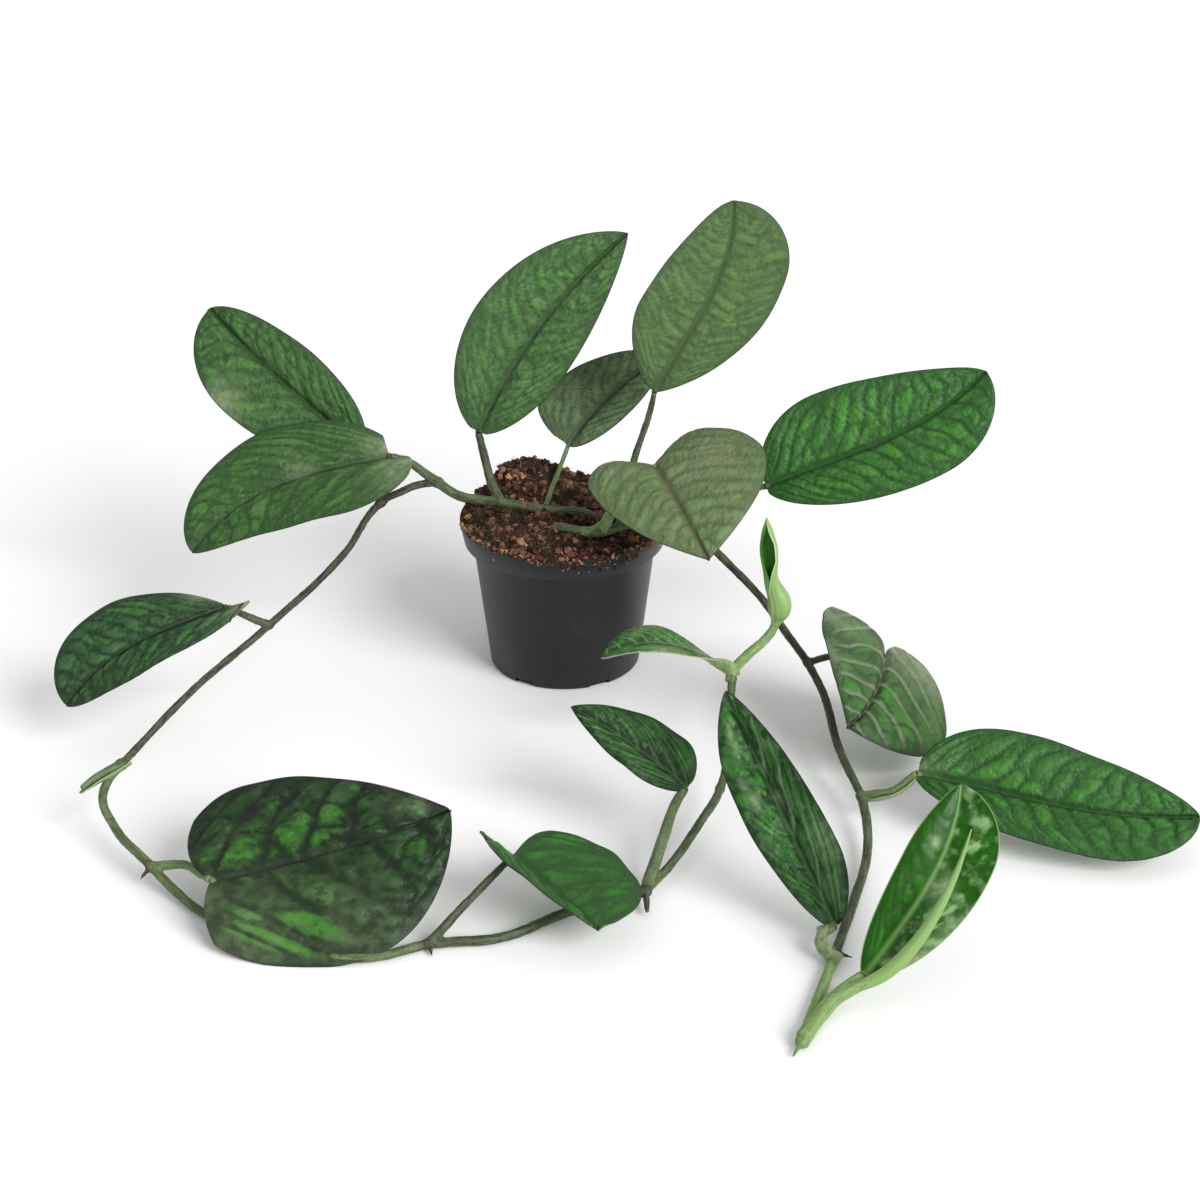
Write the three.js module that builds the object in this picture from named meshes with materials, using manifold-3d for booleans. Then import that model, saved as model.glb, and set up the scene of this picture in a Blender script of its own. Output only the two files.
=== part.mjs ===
// A climbing aroid with quilted leaves, planted in a plastic nursery pot.
// Two trailing vines leave the pot, one on each side, and end lying on the surface in front of it.
// Millimetres, +Z up. The origin is the middle of the pot's base, +X is right, -Y is the front.
import * as THREE from 'three';
import { mergeVertices } from 'three/addons/utils/BufferGeometryUtils.js';
import Module from 'manifold-3d';

const wasm = await Module();
wasm.setup();

// Driving dimensions
const POT_HEIGHT = 90;
const RIM_RADIUS = 60;
const LIP_DEPTH = 14;
const LIP_TAPER = 2.5;
const LIP_STEP = 5;
const BASE_RADIUS = 43.3;
const POT_WALL = 1.3;
const POT_FLOOR = 1.6;
const POT_SIDES = 40;
const DRAIN_NOTCHES = 6;
const DRAIN_NOTCH = { wide: 12, high: 3, deep: 5, turn: -32 };
const CLEARANCE = 0.35;
const BLADE_THICKNESS = 0.9;
const BLADE_ROWS = 12;
const BLADE_COLUMNS = 6;
const STEM_SIDES = 7;
const STEM_STEP = 14;

const COLOURS = {
  pot: 0x26262a,
  soil: 0x4a3026,
  olderLeaf: 0x4c6b48,
  leaf: 0x2c6a32,
  youngLeaf: 0x4f9a3c,
  oldStem: 0x55603f,
  shoot: 0x93b866,
};

const radians = THREE.MathUtils.degToRad;
const vector = (point) => new THREE.Vector3(...point);

// Solids are joined and cut as manifolds, then turned back into meshes
function solidFrom(geometry) {
  const bare = geometry.clone();
  bare.deleteAttribute('normal');
  bare.deleteAttribute('uv');
  const merged = mergeVertices(bare, 1e-4);
  return new wasm.Manifold(new wasm.Mesh({
    numProp: 3,
    vertProperties: new Float32Array(merged.attributes.position.array),
    triVerts: new Uint32Array(merged.index.array),
  }));
}

function geometryFrom(solid) {
  const mesh = solid.getMesh();
  const geometry = new THREE.BufferGeometry();
  geometry.setAttribute('position', new THREE.BufferAttribute(new Float32Array(mesh.vertProperties), 3));
  geometry.setIndex(new THREE.BufferAttribute(new Uint32Array(mesh.triVerts), 1));
  geometry.computeVertexNormals();
  return geometry;
}

function largestPiece(solid) {
  const pieces = solid.decompose();
  return pieces.reduce((best, piece) => (piece.volume() > best.volume() ? piece : best));
}

// Leaves
// base and tip are the ends of the midrib and face is where the upper side looks.
// half gives the widths of the left and right halves, wide where along the midrib each is widest.
// sway and hook bend the midrib sideways, bow and droop bend it towards the upper side.
// fold lifts each half in degrees, lobe is how far each half of a heart-shaped base reaches back.
const PLAIN_LEAF = {
  bow: 0, droop: 0, sway: 0, hook: 0, wide: [0.42, 0.42], shoulder: 0.01,
  heel: 0.55, sharp: 0.85, lobe: [0, 0], fold: [12, 12], wave: 0.8,
};

const LEAVES = [
  {
    name: 'leaf_left_high', colour: 'leaf', base: [-118, 30, 118], tip: [-206, 72, 190],
    face: [-0.1, -0.75, 0.65], half: [36, 24], wide: [0.6, 0.45], sharp: 0.6, fold: [8, 8],
    bow: 4, sway: -1, hook: -2,
  },
  {
    name: 'leaf_left_low', colour: 'leaf', base: [-99, 2, 127], tip: [-207, -44, 88],
    face: [-0.2, -0.5, 0.85], half: [37, 36], wide: [0.32, 0.45], shoulder: 0.05, sharp: 0.65,
    lobe: [0.09, 0], fold: [6, 10],
    bow: 6, sway: 6, hook: 7,
  },
  {
    name: 'leaf_crown_tall', colour: 'olderLeaf', base: [-49, 20, 134], tip: [36, 42, 245],
    face: [-0.1, -0.95, 0.3], half: [36, 28], wide: [0.42, 0.4], heel: 0.62, fold: [10, 10],
    sway: -8,
  },
  {
    name: 'leaf_crown_top', colour: 'olderLeaf', base: [51, 2, 166], tip: [94, 22, 270],
    face: [0.2, -0.9, 0.4], half: [34, 36], wide: [0.36, 0.72], heel: 0.8, sharp: 0.7, fold: [5, 5],
    sway: 3, hook: 6,
  },
  {
    name: 'leaf_crown_small', colour: 'olderLeaf', base: [2, 32, 121], tip: [62, 74, 162],
    face: [-0.1, -0.8, 0.6], half: [29, 16], wide: [0.15, 0.45], sharp: 0.95, fold: [8, 8],
    sway: -5,
  },
  {
    name: 'leaf_crown_heart', colour: 'olderLeaf', base: [50, -30, 136], tip: [78, -110, 115],
    face: [-0.25, -0.25, 0.95], half: [56, 39], wide: [0.35, 0.12], shoulder: 0.16,
    lobe: [0.16, 0.2], sharp: 1, fold: [4, 4], bow: 4,
  },
  {
    name: 'leaf_crown_right', colour: 'leaf', base: [114, -14, 115], tip: [236, 2, 178],
    face: [-0.1, -0.8, 0.6], half: [39, 33], wide: [0.3, 0.68], heel: 0.55, sharp: 0.65,
    fold: [8, 8], sway: 3, hook: 6,
  },
  {
    name: 'leaf_left_trailing', colour: 'leaf', base: [-184, -85, 75], tip: [-268, -122, 33],
    face: [-0.3, -0.6, 0.8], half: [21, 30], wide: [0.55, 0.66], heel: 0.8, sharp: 0.6, fold: [8, 8],
    bow: 8, sway: 1, hook: 5,
  },
  {
    name: 'leaf_front_heart', colour: 'leaf', base: [-168, -286, 27], tip: [-53, -258, 50],
    face: [0, -0.45, 0.9], half: [52, 58], wide: [0.34, 0.5], shoulder: 0.12,
    lobe: [0.09, 0.05], sharp: 0.8, fold: [-10, -10], bow: 1, sway: 3, hook: 1,
  },
  {
    name: 'leaf_front_folded', colour: 'leaf', base: [-27, -270, 26], tip: [21, -320, 20],
    face: [0.3, -0.35, 0.9], half: [50, 24], wide: [0.52, 0.36], shoulder: 0.08,
    lobe: [0.06, 0.26], sharp: 0.4, fold: [4, 62],
  },
  {
    name: 'leaf_front_small', colour: 'leaf', base: [65, -215, 37], tip: [6, -190, 70],
    face: [0.1, -0.4, 0.9], half: [15, 21], wide: [0.36, 0.25], fold: [8, 8], sway: 2,
  },
  {
    name: 'leaf_right_upright', colour: 'leaf', base: [133, -306, 13], tip: [82, -224, 97],
    face: [-0.5, -0.6, 0.6], half: [19, 24], wide: [0.6, 0.25], heel: 0.65, fold: [25, 25],
  },
  {
    name: 'leaf_right_tilted', colour: 'leaf', base: [178, -90, 48], tip: [152, -156, 39],
    face: [0.5, -0.36, 0.7], half: [46, 46], wide: [0.45, 0.12], shoulder: 0.16, heel: 0.65,
    lobe: [0.14, 0.16], sharp: 1, fold: [5, 5], sway: -5,
  },
  {
    name: 'leaf_right_long', colour: 'leaf', base: [185, -190, 31], tip: [326, -218, 22],
    face: [0, -0.5, 0.87], half: [34, 31], wide: [0.3, 0.7], sharp: 0.65, fold: [14, 14], sway: 2, hook: 5,
  },
  {
    name: 'leaf_right_young', colour: 'youngLeaf', base: [144, -345, 11], tip: [190, -300, 88],
    face: [-0.2, -0.8, 0.5], half: [18, 25], wide: [0.6, 0.7], heel: 0.65, sharp: 0.7, fold: [20, 15],
    sway: 4, hook: 4, wave: 0.3,
  },
  {
    name: 'leaf_left_young', colour: 'youngLeaf', base: [86, -116, 55], tip: [21, -120, 61],
    face: [0, -0.3, 0.95], half: [8, 13], wide: [0.45, 0.65], sharp: 0.6, fold: [10, 10], bow: 11,
    droop: 3, wave: 0.3,
  },
];

// Width of one half of the blade at s along the midrib, as a share of its widest
function outline(leaf, s, side) {
  const widest = leaf.wide[side];
  if (s < widest) {
    const back = (widest - s) / (widest + leaf.shoulder);
    return Math.max(0.02, Math.max(0, 1 - back * back) ** leaf.heel);
  }
  const front = (s - widest) / (1 - widest);
  return Math.max(0.02, Math.max(0, 1 - front * front) ** leaf.sharp);
}

// Point of the blade's middle surface at s from base to tip and t from left edge -1 to right edge 1
function bladePoint(leaf, s, t) {
  const base = vector(leaf.base);
  const chord = vector(leaf.tip).sub(base);
  const along = chord.clone().normalize();
  const face = vector(leaf.face);
  const up = face.clone().addScaledVector(along, -face.dot(along)).normalize();
  const right = new THREE.Vector3().crossVectors(along, up);
  const side = t < 0 ? 0 : 1;
  const place = s - leaf.lobe[side] * (1 - s) ** 3 * Math.sin(0.8 * Math.PI * Math.abs(t) ** 1.15);
  const u = Math.max(place, 0);
  const early = 4 * u * (1 - u);
  const late = 6.75 * u * u * (1 - u);
  const earlySlope = 4 - 8 * u;
  const lateSlope = 6.75 * (2 * u - 3 * u * u);
  const slope = chord.clone()
    .addScaledVector(right, leaf.sway * earlySlope + leaf.hook * lateSlope)
    .addScaledVector(up, leaf.bow * earlySlope + leaf.droop * lateSlope);
  const point = base.addScaledVector(chord, u)
    .addScaledVector(right, leaf.sway * early + leaf.hook * late)
    .addScaledVector(up, leaf.bow * early + leaf.droop * late)
    .addScaledVector(slope, Math.min(place, 0));
  const tangent = slope.normalize();
  const normal = up.addScaledVector(tangent, -up.dot(tangent)).normalize();
  const across = new THREE.Vector3().crossVectors(tangent, normal);
  const width = outline(leaf, s, side);
  const reach = t * leaf.half[side] * width;
  const fold = radians(leaf.fold[side]);
  const ripple = leaf.wave * Math.sin(5 * Math.PI * s + (side ? 0 : 1.3)) * (t * width) ** 2 * Math.sin(Math.PI * s);
  return point.addScaledVector(across, reach * Math.cos(fold))
    .addScaledVector(normal, Math.abs(reach) * Math.sin(fold) + ripple);
}

// Unit directions along and across the blade at a point, and its normal
function bladeFrame(leaf, s, t) {
  const step = 0.01;
  const forward = bladePoint(leaf, Math.min(s + step, 1), t).sub(bladePoint(leaf, Math.max(s - step, 0), t));
  const sideways = bladePoint(leaf, s, Math.min(t + step, 1)).sub(bladePoint(leaf, s, Math.max(t - step, -1)));
  const normal = new THREE.Vector3().crossVectors(sideways, forward).normalize();
  return { forward: forward.normalize(), sideways: sideways.normalize(), normal };
}

// The blade is a thin sheet with the same triangles on both faces and a rim between them.
// A margin makes it that much larger all round.
function bladeGeometry(leaf, margin) {
  const rows = BLADE_ROWS + 1;
  const columns = BLADE_COLUMNS + 1;
  const positions = [];
  for (const side of [1, -1]) {
    for (let row = 0; row < rows; row++) {
      const s = 0.5 * (1 - Math.cos((Math.PI * row) / BLADE_ROWS));
      const outward = row === 0 ? -1 : Number(row === BLADE_ROWS);
      for (let column = 0; column < columns; column++) {
        const t = (2 * column) / BLADE_COLUMNS - 1;
        const frame = bladeFrame(leaf, s, t);
        const point = bladePoint(leaf, s, t)
          .addScaledVector(frame.normal, side * (BLADE_THICKNESS / 2 + margin))
          .addScaledVector(frame.forward, outward * margin)
          .addScaledVector(frame.sideways, Math.abs(t) === 1 ? t * margin : 0);
        positions.push(...point);
      }
    }
  }
  const under = rows * columns;
  const at = (row, column) => row * columns + column;
  const index = [];
  for (let row = 0; row < BLADE_ROWS; row++) {
    for (let column = 0; column < BLADE_COLUMNS; column++) {
      const [a, b, c, d] = [at(row, column), at(row, column + 1), at(row + 1, column + 1), at(row + 1, column)];
      index.push(a, b, c, a, c, d);
      index.push(under + a, under + c, under + b, under + a, under + d, under + c);
    }
  }
  const rim = [];
  for (let column = 0; column < BLADE_COLUMNS; column++) rim.push(at(0, column));
  for (let row = 0; row < BLADE_ROWS; row++) rim.push(at(row, BLADE_COLUMNS));
  for (let column = BLADE_COLUMNS; column > 0; column--) rim.push(at(BLADE_ROWS, column));
  for (let row = BLADE_ROWS; row > 0; row--) rim.push(at(row, 0));
  rim.forEach((from, i) => {
    const to = rim[(i + 1) % rim.length];
    index.push(from, under + from, under + to, from, under + to, to);
  });
  const geometry = new THREE.BufferGeometry();
  geometry.setAttribute('position', new THREE.Float32BufferAttribute(positions, 3));
  geometry.setIndex(index);
  return geometry;
}

// Stems
// Each stretch is a route with its radius. Swellings are the leaf nodes, where a petiole leaves.
const LEFT_VINE = {
  stretches: [
    { radius: 2.8, route: [[26, -13, 86], [17, -10, 94], [-14, -6, 97], [-36, 1, 98], [-47, 4, 98],
      [-58, 2, 101], [-65, -1, 106], [-72, 2, 110]] },
    { radius: 2.2, route: [[-72, 2, 110], [-78, 3, 109], [-85, 2, 108], [-92, -1, 106], [-105, 3, 97],
      [-124, -30, 80], [-161, -83, 62], [-195, -138, 52], [-225, -198, 40]] },
    { radius: 2.4, route: [[-225, -198, 40], [-231, -203, 34], [-234, -208, 26], [-229, -217, 18],
      [-203, -253, 13], [-194, -261, 8], [-172, -283, 4], [-133, -307, 2.8], [-94, -318, 2.8], [-62, -306, 2.8]] },
    { radius: 2.5, route: [[-62, -306, 2.8], [-47, -304, 2.8], [-28, -301, 2.8], [4, -280, 3.6], [43, -266, 7]] },
    { radius: 2.3, route: [[43, -266, 7], [55, -248, 10], [72, -213, 15], [83, -187, 19], [89, -155, 31],
      [91, -128, 45], [92, -117, 52]] },
    { radius: 2.6, route: [[-72, 2, 110], [-80, 3, 116], [-88, 2, 122.5], [-98, 2, 126.5]] },
    { radius: 2.7, route: [[-36, 1, 98], [-42, 11, 107], [-46, 18, 120], [-49, 20, 133]] },
    { radius: 1.6, route: [[-11, -6, 97], [-8, 6, 102], [-3, 21, 110], [2, 31.5, 120]] },
    { radius: 2.2, route: [[-105, 3, 97], [-111, 13, 105], [-118, 29, 117]] },
    { radius: 1.8, route: [[-161, -83, 62], [-172, -85, 68], [-183, -85, 74]] },
    { radius: 2.2, route: [[-203, -253, 13], [-193, -256, 16], [-184, -261, 19], [-176, -273, 22],
      [-169, -285, 26]] },
    { radius: 2.1, route: [[-62, -306, 3], [-55, -305, 8], [-46, -301, 13], [-36, -286, 19],
      [-28, -271, 25]] },
    { radius: 3, route: [[43, -266, 7], [52, -240, 21], [59, -222, 32], [63, -216, 35.5]] },
    { radius: 1.8, route: [[92, -117, 52], [86.5, -116, 54.5]] },
    { radius: 2.1, route: [[92, -117, 52], [99, -113, 58], [112, -103, 66], [115, -101, 70.5]] },
    { radius: 2.4, route: [[-225, -198, 40], [-236, -207, 38], [-243, -214, 35]] },
    { radius: 1, route: [[-203, -253, 13], [-208, -254, 8], [-211, -254, 4]] },
  ],
  swellings: [
    { radius: 3.6, place: [-72, 2, 110] }, { radius: 3.1, place: [-105, 3, 97] },
    { radius: 3, place: [-161, -83, 62] }, { radius: 3.3, place: [-225, -198, 40] },
    { radius: 3.2, place: [-203, -253, 13] }, { radius: 2.9, place: [-62, -306, 3.2] },
    { radius: 3.4, place: [43, -266, 7] }, { radius: 2.9, place: [83, -187, 19] },
    { radius: 2.7, place: [92, -117, 52] }, { radius: 3.4, place: [-36, 1, 98] },
    { radius: 3, place: [26, -13, 86] },
  ],
};

const RIGHT_VINE = {
  stretches: [
    { radius: 2.8, route: [[-10, -20, 87], [-4, -27, 95], [8, -35, 97], [19, -38, 97], [31, -33, 98],
      [45, -28, 100], [62, -27, 99], [77, -27, 90]] },
    { radius: 2.3, route: [[77, -27, 90], [88, -29, 79], [112, -53, 62], [123, -65, 50], [136, -78, 36]] },
    { radius: 2.4, route: [[136, -78, 36], [143, -105, 30], [148, -147, 21], [157, -186, 14]] },
    { radius: 2.7, route: [[157, -186, 14], [158, -206, 10], [156, -230, 6], [146, -270, 4],
      [133, -315, 3.2], [120, -360, 3.2], [112, -387, 3.4]] },
    { radius: 2, route: [[31, -33, 98], [35, -15, 107], [40, 1, 125], [48, 4, 150], [51, 2, 165]] },
    { radius: 2.2, route: [[38, -30, 99], [44, -33, 112], [49, -32, 127], [50, -30.5, 135]] },
    { radius: 2.1, route: [[45, -28, 100], [68, -20, 107], [94, -15, 111], [113, -14, 114.5]] },
    { radius: 1.9, route: [[136, -78, 36], [147, -77, 39], [163, -84, 43], [177, -89.5, 47]] },
    { radius: 2.2, route: [[157, -186, 14], [165, -190, 18], [172, -192, 21], [184, -190, 30]] },
    { radius: 1.7, route: [[133, -315, 3.4], [126, -317, 8], [127, -312, 12], [132, -306.5, 12.5]] },
    { radius: 2.8, route: [[113, -384, 3.8], [120, -370, 4.2], [129, -357, 6], [137, -350, 9],
      [143, -345.5, 10.5]] },
    { radius: 2, route: [[129, -357, 6], [140, -356, 10], [149.5, -356, 15.5]] },
    { radius: 2.4, route: [[12, -37, 97], [19, -36, 99], [26, -32, 105], [29, -30, 110]] },
  ],
  swellings: [
    { radius: 3, place: [136, -78, 36] }, { radius: 3.4, place: [157, -186, 14] },
    { radius: 3.2, place: [133, -315, 3.5] }, { radius: 3.4, place: [112, -386, 3.7] },
    { radius: 3.6, place: [38, -30, 99] }, { radius: 3.4, place: [12, -37, 97] },
    { radius: 3, place: [-10, -20, 87] },
  ],
};

function stemGeometry(route, radius) {
  const curve = new THREE.CatmullRomCurve3(route.map(vector), false, 'centripetal');
  const section = new THREE.Shape();
  for (let side = 0; side < STEM_SIDES; side++) {
    const angle = (2 * Math.PI * side) / STEM_SIDES;
    const [x, y] = [radius * Math.cos(angle), radius * Math.sin(angle)];
    if (side === 0) section.moveTo(x, y);
    else section.lineTo(x, y);
  }
  section.closePath();
  const steps = Math.max(2, Math.round(curve.getLength() / STEM_STEP));
  return new THREE.ExtrudeGeometry(section, { extrudePath: curve, steps, bevelEnabled: false });
}

function vineSolid(vine, extra) {
  let solid = solidFrom(stemGeometry(vine.stretches[0].route, vine.stretches[0].radius + extra));
  for (const { route, radius } of vine.stretches.slice(1)) {
    solid = solid.add(solidFrom(stemGeometry(route, radius + extra)));
  }
  for (const { radius, place } of vine.swellings) {
    const knob = new THREE.SphereGeometry(radius + extra, STEM_SIDES, 5);
    knob.translate(...place);
    solid = solid.add(solidFrom(knob));
  }
  return solid;
}

// Furled new leaves: a spindle along a bent axis, with its girth as radii at even steps from foot to tip
const SHOOTS = [
  {
    name: 'shoot_left_vine', girth: [2, 3, 5.2, 4.6, 3.4, 3.8, 4.5, 3.8, 2.2, 0.4],
    axis: [[115, -101, 71], [117, -100, 76], [118, -100, 85], [113, -100, 97], [111, -100, 110],
      [110, -100, 121], [109, -100, 134]],
  },
  {
    name: 'shoot_right_vine', girth: [2.2, 2.8, 3.2, 3.4, 3.4, 3.2, 2.7, 2, 1.2, 0.3],
    axis: [[150, -356, 16], [157, -354, 23], [169, -349, 33], [180, -344, 50], [187, -338, 67],
      [191, -332, 83]],
  },
];
const SHOOT_RINGS = 12;

function shootGeometry(shoot, margin) {
  const curve = new THREE.CatmullRomCurve3(shoot.axis.map(vector), false, 'centripetal');
  const last = shoot.girth.length - 1;
  const girth = new THREE.SplineCurve(shoot.girth.map((radius, i) => new THREE.Vector2(i / last, radius)));
  const profile = [new THREE.Vector2(0, 0)];
  for (let ring = 0; ring < SHOOT_RINGS; ring++) {
    profile.push(new THREE.Vector2(girth.getPoint(ring / SHOOT_RINGS).y + margin, ring / SHOOT_RINGS));
  }
  profile.push(new THREE.Vector2(0, 1));
  const geometry = new THREE.LatheGeometry(profile, STEM_SIDES);
  const position = geometry.attributes.position;
  for (let i = 0; i < position.count; i++) {
    const s = position.getY(i);
    const tangent = curve.getTangentAt(s);
    const across = new THREE.Vector3(1, 0, 0).cross(tangent).normalize();
    const point = curve.getPointAt(s)
      .addScaledVector(tangent, (2 * s - 1) * margin)
      .addScaledVector(across, position.getX(i))
      .addScaledVector(new THREE.Vector3().crossVectors(across, tangent), position.getZ(i));
    position.setXYZ(i, point.x, point.y, point.z);
  }
  return geometry;
}

// Pot: a thin shell with a stepped lip and small drain notches in the edge of its base
function bodyRadius(z) {
  const top = RIM_RADIUS - LIP_TAPER - LIP_STEP;
  return BASE_RADIUS + ((top - BASE_RADIUS) * z) / (POT_HEIGHT - LIP_DEPTH);
}

function lathe(profile, sides) {
  const geometry = new THREE.LatheGeometry(profile.map(([r, z]) => new THREE.Vector2(r, z)), sides);
  return geometry.rotateX(Math.PI / 2);
}

function potSolid() {
  const lipFoot = POT_HEIGHT - LIP_DEPTH;
  const lipRadius = RIM_RADIUS - LIP_TAPER;
  const shell = solidFrom(lathe([
    [0, 0],
    [BASE_RADIUS - 1, 0],
    [bodyRadius(1), 1],
    [bodyRadius(lipFoot), lipFoot],
    [lipRadius - 0.6, lipFoot],
    [lipRadius, lipFoot + 0.6],
    [RIM_RADIUS, POT_HEIGHT - 0.8],
    [RIM_RADIUS - 0.6, POT_HEIGHT],
    [RIM_RADIUS - POT_WALL, POT_HEIGHT],
    [lipRadius - POT_WALL, lipFoot + POT_WALL],
    [bodyRadius(lipFoot) - POT_WALL, lipFoot + POT_WALL],
    [bodyRadius(POT_FLOOR) - POT_WALL, POT_FLOOR],
    [0, POT_FLOOR],
  ], POT_SIDES));
  let solid = shell;
  for (let i = 0; i < DRAIN_NOTCHES; i++) {
    const notch = new THREE.BoxGeometry(DRAIN_NOTCH.wide, DRAIN_NOTCH.deep, 2 * DRAIN_NOTCH.high);
    notch.translate(0, -BASE_RADIUS, 0);
    notch.rotateZ(radians(DRAIN_NOTCH.turn + (360 * i) / DRAIN_NOTCHES));
    solid = solid.subtract(solidFrom(notch));
  }
  return solid;
}

// Soil: it fills the pot, is heaped up at the back left and spills over the rim at the front
const MOUND = { height: 19, place: [-22, 30], spread: 19 };
const HEAP = { height: 7, place: [5, -18], spread: 34 };
const SOIL_RIM = RIM_RADIUS - 0.4;
const SOIL_SIDES = 32;
const SOIL_GAP = 0.55;

function heap(x, y, { height, place, spread }) {
  const distance = (x - place[0]) ** 2 + (y - place[1]) ** 2;
  return height * Math.exp(-distance / (2 * spread ** 2));
}

function soilHeight(x, y) {
  const edge = Math.min(1, (SOIL_RIM - Math.hypot(x, y)) / 9);
  const crumbs = 0.9 * Math.sin(0.41 * x + 1.1) * Math.cos(0.37 * y - 0.6) + 0.6 * Math.sin(0.23 * x - 0.31 * y);
  return POT_HEIGHT + 0.6 + edge * (heap(x, y, MOUND) + heap(x, y, HEAP) * 0.5 + crumbs + 1.6);
}

function soilSolid() {
  const lipFoot = POT_HEIGHT - LIP_DEPTH;
  const gap = POT_WALL + SOIL_GAP;
  const topRings = [0.97, 0.88, 0.76, 0.63, 0.48, 0.32, 0.16];
  const geometry = lathe([
    [0, POT_FLOOR + CLEARANCE],
    [bodyRadius(POT_FLOOR) - gap, POT_FLOOR + CLEARANCE],
    [bodyRadius(lipFoot) - gap, lipFoot + gap],
    [RIM_RADIUS - LIP_TAPER - gap, lipFoot + gap],
    [RIM_RADIUS - gap, POT_HEIGHT + CLEARANCE],
    [SOIL_RIM, POT_HEIGHT + CLEARANCE],
    ...topRings.map((share) => [SOIL_RIM * share, POT_HEIGHT + 1]),
    [0, POT_HEIGHT + 1],
  ], SOIL_SIDES);
  const position = geometry.attributes.position;
  for (let i = 0; i < position.count; i++) {
    if (position.getZ(i) > POT_HEIGHT + 0.9) {
      position.setZ(i, soilHeight(position.getX(i), position.getY(i)));
    }
  }
  return solidFrom(geometry);
}

// Assembly: stems keep clear of the blades they carry, and stand in plain holes in the soil
function finish(colour, roughness) {
  return new THREE.MeshStandardMaterial({ color: COLOURS[colour], roughness, metalness: 0 });
}

const plant = new THREE.Group();

function place(name, solid, material) {
  const mesh = new THREE.Mesh(geometryFrom(solid), material);
  mesh.name = name;
  plant.add(mesh);
}

const leaves = LEAVES.map((values) => ({ ...PLAIN_LEAF, ...values }));
const keepClear = [
  ...leaves.map((leaf) => solidFrom(bladeGeometry(leaf, CLEARANCE))),
  ...SHOOTS.map((shoot) => solidFrom(shootGeometry(shoot, CLEARANCE))),
];

for (const [name, vine] of [['stem_left_vine', LEFT_VINE], ['stem_right_vine', RIGHT_VINE]]) {
  let solid = vineSolid(vine, 0);
  for (const room of keepClear) solid = solid.subtract(room);
  place(name, largestPiece(solid), finish('oldStem', 0.6));
}

let soil = soilSolid();
for (const vine of [LEFT_VINE, RIGHT_VINE]) soil = soil.subtract(vineSolid(vine, CLEARANCE));
place('soil', largestPiece(soil), finish('soil', 0.95));
place('pot', potSolid(), finish('pot', 0.45));

for (const leaf of leaves) {
  place(leaf.name, solidFrom(bladeGeometry(leaf, 0)), finish(leaf.colour, 0.45));
}
for (const shoot of SHOOTS) {
  place(shoot.name, solidFrom(shootGeometry(shoot, 0)), finish('shoot', 0.5));
}

export default plant;
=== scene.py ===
# A climbing aroid with quilted leaves in a plastic nursery pot, with two vines that trail forward.
# Each section holds one kind of piece with its sizes, mesh and finish. Sizes are in millimetres
# until a mesh is placed, and every finished mesh is in metres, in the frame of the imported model.
import math
import random

import bmesh
import bpy
import numpy as np
from mathutils import Matrix, Vector, kdtree, noise


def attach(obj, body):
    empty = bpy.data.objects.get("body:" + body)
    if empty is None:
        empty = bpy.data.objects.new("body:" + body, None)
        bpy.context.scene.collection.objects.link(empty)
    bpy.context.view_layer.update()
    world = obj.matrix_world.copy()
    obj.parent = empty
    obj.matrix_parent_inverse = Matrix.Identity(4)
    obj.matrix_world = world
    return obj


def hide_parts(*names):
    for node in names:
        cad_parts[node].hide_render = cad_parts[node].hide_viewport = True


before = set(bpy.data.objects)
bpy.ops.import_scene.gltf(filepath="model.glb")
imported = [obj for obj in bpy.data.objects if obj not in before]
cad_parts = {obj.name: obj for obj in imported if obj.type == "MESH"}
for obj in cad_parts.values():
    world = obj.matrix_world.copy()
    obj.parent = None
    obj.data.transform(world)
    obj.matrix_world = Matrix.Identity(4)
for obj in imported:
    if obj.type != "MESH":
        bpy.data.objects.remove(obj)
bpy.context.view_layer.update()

# Pot
# A thin nursery pot, injection moulded in black polypropylene. The stepped lip stiffens the rim,
# and six shallow notches in the edge of its base let water out.
MM = 0.001
POT_HEIGHT, RIM_RADIUS, BASE_RADIUS = 90, 60, 43.3
LIP_FOOT, LIP_RADIUS, BODY_TOP_RADIUS = 76, 57.5, 52.5
POT_WALL, POT_FLOOR = 1.3, 1.6
NOTCH_WIDE, NOTCH_HIGH, NOTCH_TURN, NOTCHES = 12, 3, -32, 6


def placed(name, data):
    piece = bpy.data.objects.new(name, data)
    bpy.context.collection.objects.link(piece)
    return piece


def add_piece(name, mesh, materials, node):
    """Put a finished mesh on the part in place of its plain solid."""
    piece = placed(name, mesh)
    for material in materials:
        mesh.materials.append(material)
    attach(piece, "root")
    if node:
        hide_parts(node)
    return piece


def finished(bm, name):
    """The mesh that a bmesh holds, which is freed."""
    mesh = bpy.data.meshes.new(name)
    bm.to_mesh(mesh)
    bm.free()
    return mesh


def settled(piece):
    """Take what the modifiers make as the piece's own mesh."""
    graph = bpy.context.evaluated_depsgraph_get()
    mesh = bpy.data.meshes.new_from_object(piece.evaluated_get(graph))
    piece.modifiers.clear()
    old, piece.data = piece.data, mesh
    bpy.data.meshes.remove(old)
    return piece


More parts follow.
